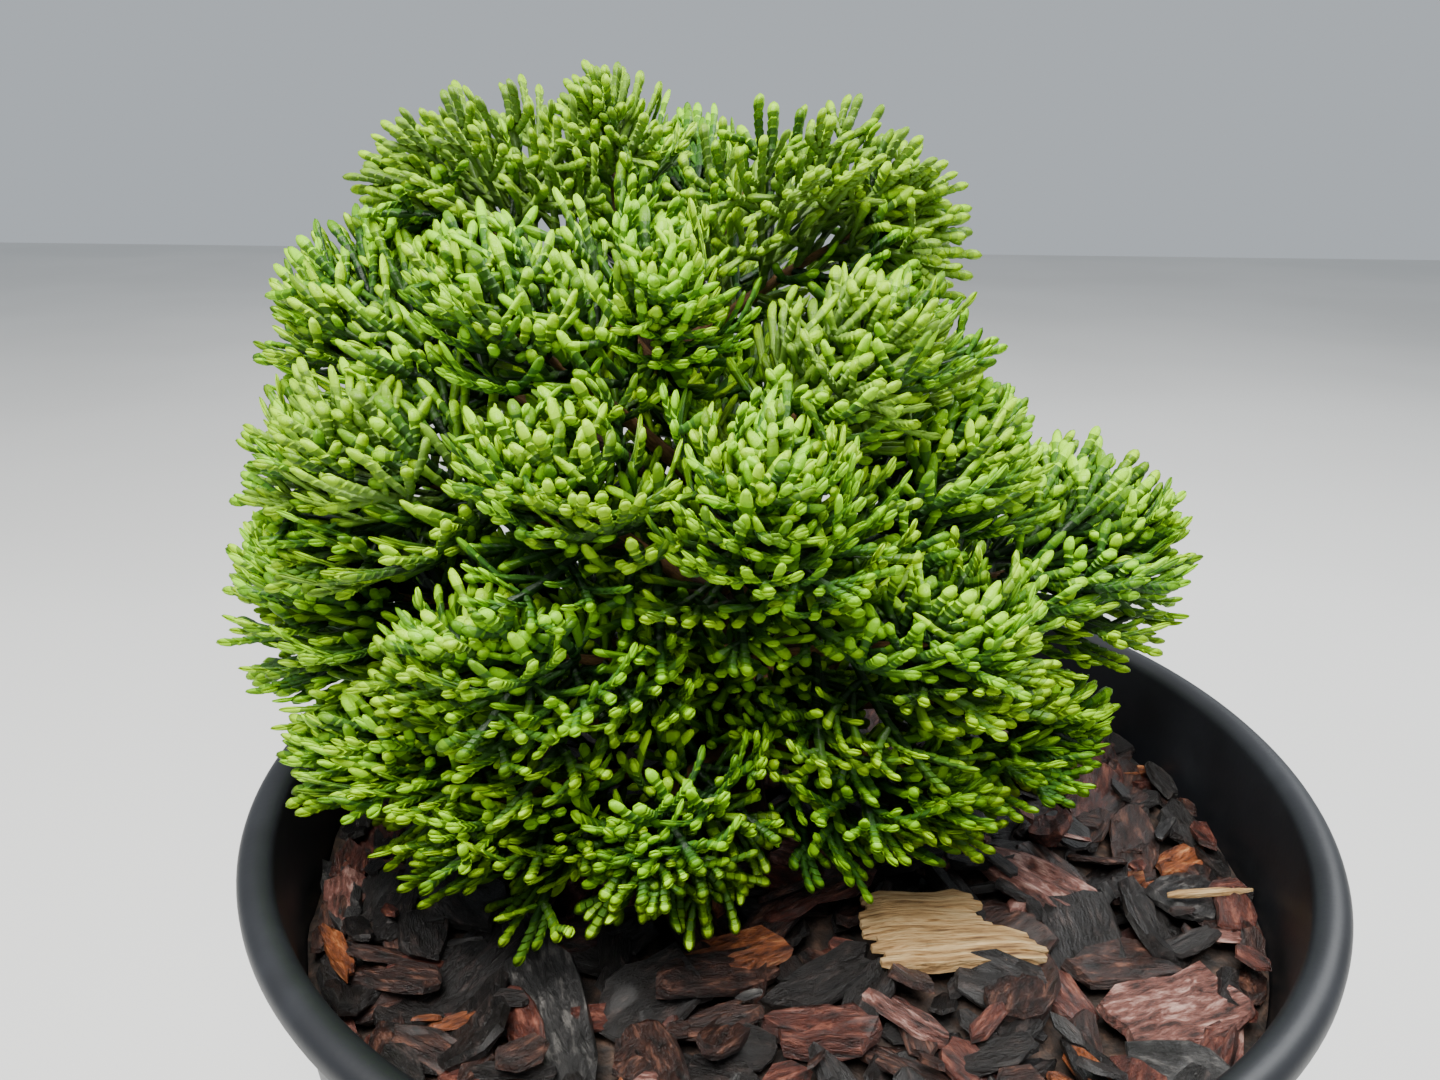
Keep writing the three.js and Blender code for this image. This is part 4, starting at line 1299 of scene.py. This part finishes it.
CHIP_KINDS = {
    "black": [(0.36, (0.0012, 0.0008, 0.0008)), (0.56, (0.006, 0.004, 0.0035)), (0.74, (0.06, 0.04, 0.035))],
    "brown": [(0.36, (0.002, 0.001, 0.0008)), (0.54, (0.026, 0.009, 0.006)), (0.72, (0.17, 0.075, 0.048))],
    "red": [(0.36, (0.006, 0.0015, 0.001)), (0.54, (0.065, 0.014, 0.008)), (0.72, (0.27, 0.10, 0.065))],
    "pink": [(0.36, (0.02, 0.007, 0.005)), (0.52, (0.15, 0.055, 0.042)), (0.70, (0.50, 0.32, 0.27))],
    "orange": [(0.36, (0.03, 0.006, 0.002)), (0.54, (0.22, 0.060, 0.016)), (0.72, (0.52, 0.24, 0.10))],
    "grey": [(0.36, (0.004, 0.004, 0.004)), (0.54, (0.020, 0.019, 0.019)), (0.74, (0.16, 0.15, 0.14))],
    "wood": [(0.3, (0.09, 0.04, 0.013)), (0.46, (0.40, 0.235, 0.09)), (0.68, (0.66, 0.48, 0.25))],
}
CHIP_SLOTS = {name: slot for slot, name in enumerate(CHIP_KINDS)}
CHIP_SMOOTH_UNDER = 38.0
STREWN_KINDS = ["black"] * 13 + ["brown"] * 10 + ["red"] * 5 + ["pink"] * 2 + ["orange"] + ["grey"] * 2

# Stretch of the streaks, roughness from and to, and coat
BARK_FINISH = ((0.2, 0.62, 0.7), (0.2, 0.55), 0.08)
WOOD_FINISH = ((0.10, 1.1, 1.1), (0.55, 0.85), 0.0)

# Strewn chips in layers: how many, shortest, longest and lift
CHIP_LAYERS = [(520, 4, 10, 1.2), (420, 9, 17, 2.6), (130, 15, 26, 3.4), (160, 5, 10, 5.4)]
STREWN_REACH = 94.0
STREWN_PLAY = 5.0
STREWN_WIDTH = (0.32, 0.72)
STREWN_THICKNESS = (0.14, 0.24)
STREWN_WALL_GAP = 0.5
STREWN_TRUNK_GAP = 7.0
GOLDEN_ANGLE = math.pi * (3 - math.sqrt(5))

# Chips along the pot's wall
WALL_CHIPS = 110
WALL_GAP = 0.4
WALL_LENGTH = (6.0, 13.0)
WALL_WIDTH = (0.4, 0.8)
WALL_INSET = (0.8, 3.0)
WALL_LIFT = (1.5, 5.0)

# Rings of a chip from its middle out and under: share of the outline, and level
CHIP_LEVELS = [(0.36, 1), (0.68, 1), (0.94, 1), (1.0, 0.2), (0.94, -0.7)]
SMALL_CHIP_LEVELS = [(0.88, 1), (1.0, -0.6)]
SMALL_CHIP = 10.0
CHIP_BLUNTNESS = 3.2
CHIP_RELIEF = 0.6

# How far the chips of a kind tilt, in degrees, and how ragged they are
STREWN = (76.0, 0.24)
AT_WALL = (50.0, 0.4)
PLACED = (20.0, 0.4)

# The chips that catch the eye: x, y, length, width, thickness, turn, kind, lift
PLACED_CHIPS = [
    (9, -38, 22, 9, 3.0, 35, "black", 4.6),
    (-10, -33, 26, 10, 3.4, 20, "orange", 3.2),
    (-38, -45, 40, 11, 3.8, -64, "grey", 4.0),
    (8, -50, 19, 11, 3.8, 4, "red", 3.4),
    (67, -41, 27, 17, 2.8, 22, "pink", 4.4),
    (60, -31, 22, 9, 3.2, 8, "brown", 3.8),
    (-62, -22, 25, 14, 4.0, -30, "black", 3.4),
    (82, 12, 18, 3.2, 1.6, 60, "grey", 4.2),
    (-76, -40, 17, 3.4, 1.8, -52, "orange", 4.2),
    (-83, -22, 22, 7, 2.6, -60, "grey", 3.8),
    (7, -6, 20, 9, 3.2, -23, "pink", 3.2),
    (79, 30, 15, 3.4, 1.6, 20, "orange", 4.0),
    (82, 2, 13, 8, 2.0, 40, "orange", 3.4),
]

# The splintered pieces of wood: x, y, length, width, thickness, turn, lift, strips, tail
SPLINTERS = [
    (27, -27.5, 26, 18, 2.4, 13, 6.6, 9, 10.0),
    (78, -17, 16, 1.3, 0.8, 17, 8.0, 2, 3.0),
]
SPLINTER_PITCH = 5.0
SPLINTER_SECTIONS = 7
SPLINTER_END = 0.45
SPLINTER_BREAKS = (0.26, 0.2)
TAIL_SHARE = 0.45
TAIL_PLAY = (0.75, 1.0)


def within_wall(x, y, z):
    """The point, or the nearest one that the pot's wall leaves free."""
    wall = pot_outer(z) - POT_WALL - WALL_GAP
    pull = min(1, wall / max(1, math.hypot(x, y)))
    return x * pull, y * pull, z


def turned_by(turn, pitch, roll):
    """The rotation of a chip that rolls, pitches and then turns, in degrees."""
    matrix = Matrix.Rotation(math.radians(turn), 3, "Z")
    return matrix @ Matrix.Rotation(math.radians(pitch), 3, "Y") @ Matrix.Rotation(math.radians(roll), 3, "X")


def add_chip(parts, chip, fall, draw):
    """A flake of bark with a ragged outline, curled and tilted as it fell."""
    x, y, length, width, thickness, turn, kind, lift = chip
    tilt, raggedness = fall
    small = length < SMALL_CHIP
    corners = 6 if small else 9 + int(min(8, length / 4))
    edge = []
    for i in range(corners):
        angle = 2 * math.pi * (i + 0.35 * (draw() - 0.5)) / corners
        wide = math.cos(angle)
        deep = math.sin(angle)
        blunt = (abs(wide) ** CHIP_BLUNTNESS + abs(deep) ** CHIP_BLUNTNESS) ** (-1 / CHIP_BLUNTNESS)
        out = 0.5 * blunt * (1 + raggedness * (draw() - 0.6))
        edge.append((length * wide * out, width * deep * out))
    roll = tilt * (draw() - 0.5)
    pitch = 0.6 * tilt * (draw() - 0.5)
    curl = 0.5 * (draw() - 0.35) / width
    seed = 90 * draw()
    levels = SMALL_CHIP_LEVELS if small else CHIP_LEVELS
    local = []
    for share, side in levels:
        for ex, ey in edge:
            relief = noise.noise(Vector((0.16 * ex * share, 0.6 * ey * share, seed + side)))
            local.append((ex * share, ey * share, (0.5 * side + CHIP_RELIEF * relief) * thickness))
    local += [(0.0, 0.0, 0.55 * thickness), (0.0, 0.0, -0.6 * thickness)]
    turned = turned_by(turn, pitch, roll)
    height = mulch_top(x, y) - BED_DROP + lift
    points = []
    for px, py, pz in local:
        spot = turned @ Vector((px, py, pz + curl * py * py))
        points.append(within_wall(x + spot.x, y + spot.y, height + spot.z))
    grain = [(px, py, pz + seed) for px, py, pz in local]
    quads, caps = ring_faces(len(levels), corners, True)
    parts.add(points, quads, CHIP_SLOTS[kind], caps, CHIP_SLOTS[kind], grain)


def add_splinter(parts, piece, draw):
    """A piece of wood split into strips along its grain, each broken off at its own place."""
    x, y, length, width, thickness, turn, lift, strips, tail = piece
    turned = turned_by(turn, SPLINTER_PITCH, 0)
    height = mulch_top(x, y) - BED_DROP + lift
    seed = 90 * draw()
    slot = CHIP_SLOTS["wood"]
    last = SPLINTER_SECTIONS - 1
    for strip in range(strips):
        share = (strip + 0.5) / strips
        left = -0.5 * length * (1 - SPLINTER_BREAKS[0] * draw())
        right = 0.5 * length * (1 - SPLINTER_BREAKS[1] * draw())
        if share < TAIL_SHARE:
            right += tail * pick(TAIL_PLAY, draw)
        middle = width * (share - 0.5)
        half = 0.62 * width / strips
        raised = 0.13 * thickness * (draw() - 0.5)
        points = []
        grain = []
        for section in range(SPLINTER_SECTIONS):
            px = mix(left, right, section / last)
            thin = SPLINTER_END if section in (0, last) else 1.0
            wave = 0.5 * thickness * noise.noise(Vector((0.12 * px, 0.2 * middle, seed)))
            for hand, side in ((-1, -1), (1, -1), (1, 1), (-1, 1)):
                py = middle + hand * half * thin
                pz = wave + side * 0.5 * thickness * thin + (raised if side > 0 else 0)
                spot = turned @ Vector((px, py, pz))
                points.append(within_wall(x + spot.x, y + spot.y, height + spot.z))
                grain.append((px, py + 0.4 * pz, seed))
        quads, _ = ring_faces(SPLINTER_SECTIONS, 4)
        end = 4 * last
        caps = [[0, 3, 2], [0, 2, 1], [end, end + 1, end + 2], [end, end + 2, end + 3]]
        parts.add(points, quads, slot, caps, slot, grain)


def inside_pot(x, y, length):
    """Whether a strewn chip lies clear of the pot's wall and of the trunk's foot."""
    wall = pot_outer(GROUND) - POT_WALL - STREWN_WALL_GAP
    off_wall = math.hypot(x, y) + 0.42 * length < wall
    return off_wall and from_trunk(x, y) > STREWN_TRUNK_GAP + 0.35 * length


def under_placed(x, y):
    """Whether a spot is below one of the pieces placed one by one."""
    for row in PLACED_CHIPS + SPLINTERS:
        turn = math.radians(row[5])
        dx = x - row[0]
        dy = y - row[1]
        along = dx * math.cos(turn) + dy * math.sin(turn)
        across = dy * math.cos(turn) - dx * math.sin(turn)
        if abs(along) < 0.5 * row[2] and abs(across) < 0.5 * row[3]:
            return True
    return False


def strewn_kind(draw):
    return STREWN_KINDS[int(len(STREWN_KINDS) * draw())]


def add_strewn_chips(parts, draw):
    for count, shortest, longest, lift in CHIP_LAYERS:
        for i in range(count):
            reach = STREWN_REACH * math.sqrt((i + 0.5) / count)
            x = reach * math.cos(i * GOLDEN_ANGLE + count) + STREWN_PLAY * (draw() - 0.5)
            y = reach * math.sin(i * GOLDEN_ANGLE + count) + STREWN_PLAY * (draw() - 0.5)
            length = mix(shortest, longest, draw() ** 1.5)
            width = length * pick(STREWN_WIDTH, draw)
            thickness = pick(STREWN_THICKNESS, draw) * length**0.85
            kind = strewn_kind(draw)
            turn = 360 * draw()
            chip = (x, y, length, width, thickness, turn, kind, lift + 1.6 * draw())
            if inside_pot(x, y, length) and not under_placed(x, y):
                add_chip(parts, chip, STREWN, draw)


def add_wall_chips(parts, draw):
    """Chips that lie along the pot's wall, where the strewn ones stop short of it."""
    wall = pot_outer(GROUND) - POT_WALL
    for i in range(WALL_CHIPS):
        around = 360 * (i + 0.5 * draw()) / WALL_CHIPS
        length = pick(WALL_LENGTH, draw)
        width = length * pick(WALL_WIDTH, draw)
        reach = wall - 0.5 * width - 0.002 * length**2 - pick(WALL_INSET, draw)
        x = reach * math.cos(math.radians(around))
        y = reach * math.sin(math.radians(around))
        kind = strewn_kind(draw)
        chip = (x, y, length, width, 0.2 * length, around + 90, kind, pick(WALL_LIFT, draw))
        add_chip(parts, chip, AT_WALL, draw)


def build_chips():
    parts = MeshParts()
    draw = make_random(CHIP_SEED)
    add_strewn_chips(parts, draw)
    add_wall_chips(parts, draw)
    for chip in PLACED_CHIPS:
        add_chip(parts, chip, PLACED, draw)
    for piece in SPLINTERS:
        add_splinter(parts, piece, draw)
    materials = []
    for name, shades in CHIP_KINDS.items():
        stretch, rough, coat = WOOD_FINISH if name == "wood" else BARK_FINISH
        materials.append(grain_material(f"chip_{name}", shades, stretch, 1.0, rough, coat))
    chips = parts.build("mulch_chips", materials, CHIP_SMOOTH_UNDER)
    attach(chips, "root")


# Stage, light and camera

FLOOR_SIZE = 6.0
SKY_COLOR = (0.86, 0.93, 1.0, 1)
SKY_STRENGTH = 0.55
LAMPS_AIM = (0.0, 0.0, 0.23)

# Name, place, size, power and colour of each lamp
LAMPS = [
    ("key", (-0.12, -0.5, 1.45), 0.9, 58, (1.0, 0.98, 0.94)),
    ("rim", (0.7, 0.5, 1.1), 0.7, 12, (0.95, 0.98, 1.0)),
]

# The photo's viewpoint, in metres, degrees and millimetres of lens
CAMERA_PLACE = (0, -0.1866, 0.3038)
CAMERA_YAW = -3.81
CAMERA_PITCH = 20.4
CAMERA_ROLL = -0.33
CAMERA_LENS = 27
CAMERA_SENSOR = 36


def build_stage():
    bpy.ops.mesh.primitive_plane_add(size=FLOOR_SIZE, location=(0, 0, 0))
    floor = bpy.context.object
    floor.name = "stage_floor"
    surface = Surface("stage_pale", 0.8)
    shades = [(0.4, (0.62, 0.62, 0.61)), (0.6, (0.66, 0.66, 0.65))]
    surface.color_by(surface.noise(surface.place(), 2, 2), shades)
    floor.data.materials.append(surface.material)


def build_light():
    world = bpy.data.worlds.new("studio")
    world.use_nodes = True
    sky = world.node_tree.nodes["Background"]
    sky.inputs["Color"].default_value = SKY_COLOR
    sky.inputs["Strength"].default_value = SKY_STRENGTH
    bpy.context.scene.world = world
    for name, place, size, power, color in LAMPS:
        data = bpy.data.lights.new(name, "AREA")
        data.shape = "DISK"
        data.size = size
        data.energy = power
        data.color = color
        lamp = bpy.data.objects.new(name, data)
        lamp.location = place
        aim = Vector(LAMPS_AIM) - Vector(place)
        lamp.rotation_euler = aim.to_track_quat("-Z", "Y").to_euler()
        bpy.context.scene.collection.objects.link(lamp)


def build_camera():
    """The photo's viewpoint, without lens shift."""
    yaw = math.radians(CAMERA_YAW)
    pitch = math.radians(CAMERA_PITCH)
    roll = math.radians(CAMERA_ROLL)
    ahead = np.array([math.sin(yaw) * math.cos(pitch), math.cos(yaw) * math.cos(pitch), -math.sin(pitch)])
    level = np.array([math.cos(yaw), -math.sin(yaw), 0.0])
    down = np.cross(ahead, level)
    right = math.cos(roll) * level + math.sin(roll) * down
    below = -math.sin(roll) * level + math.cos(roll) * down
    data = bpy.data.cameras.new("photo_camera")
    data.sensor_width = CAMERA_SENSOR
    data.lens = CAMERA_LENS
    data.clip_start = 0.01
    camera = bpy.data.objects.new("photo_camera", data)
    turned = Matrix((right, -below, -ahead)).transposed().to_4x4()
    camera.matrix_world = Matrix.Translation(CAMERA_PLACE) @ turned
    bpy.context.scene.collection.objects.link(camera)
    bpy.context.scene.camera = camera


build_pot()
build_bed()
build_chips()
build_limbs()
build_foliage()
build_stage()
build_light()
build_camera()
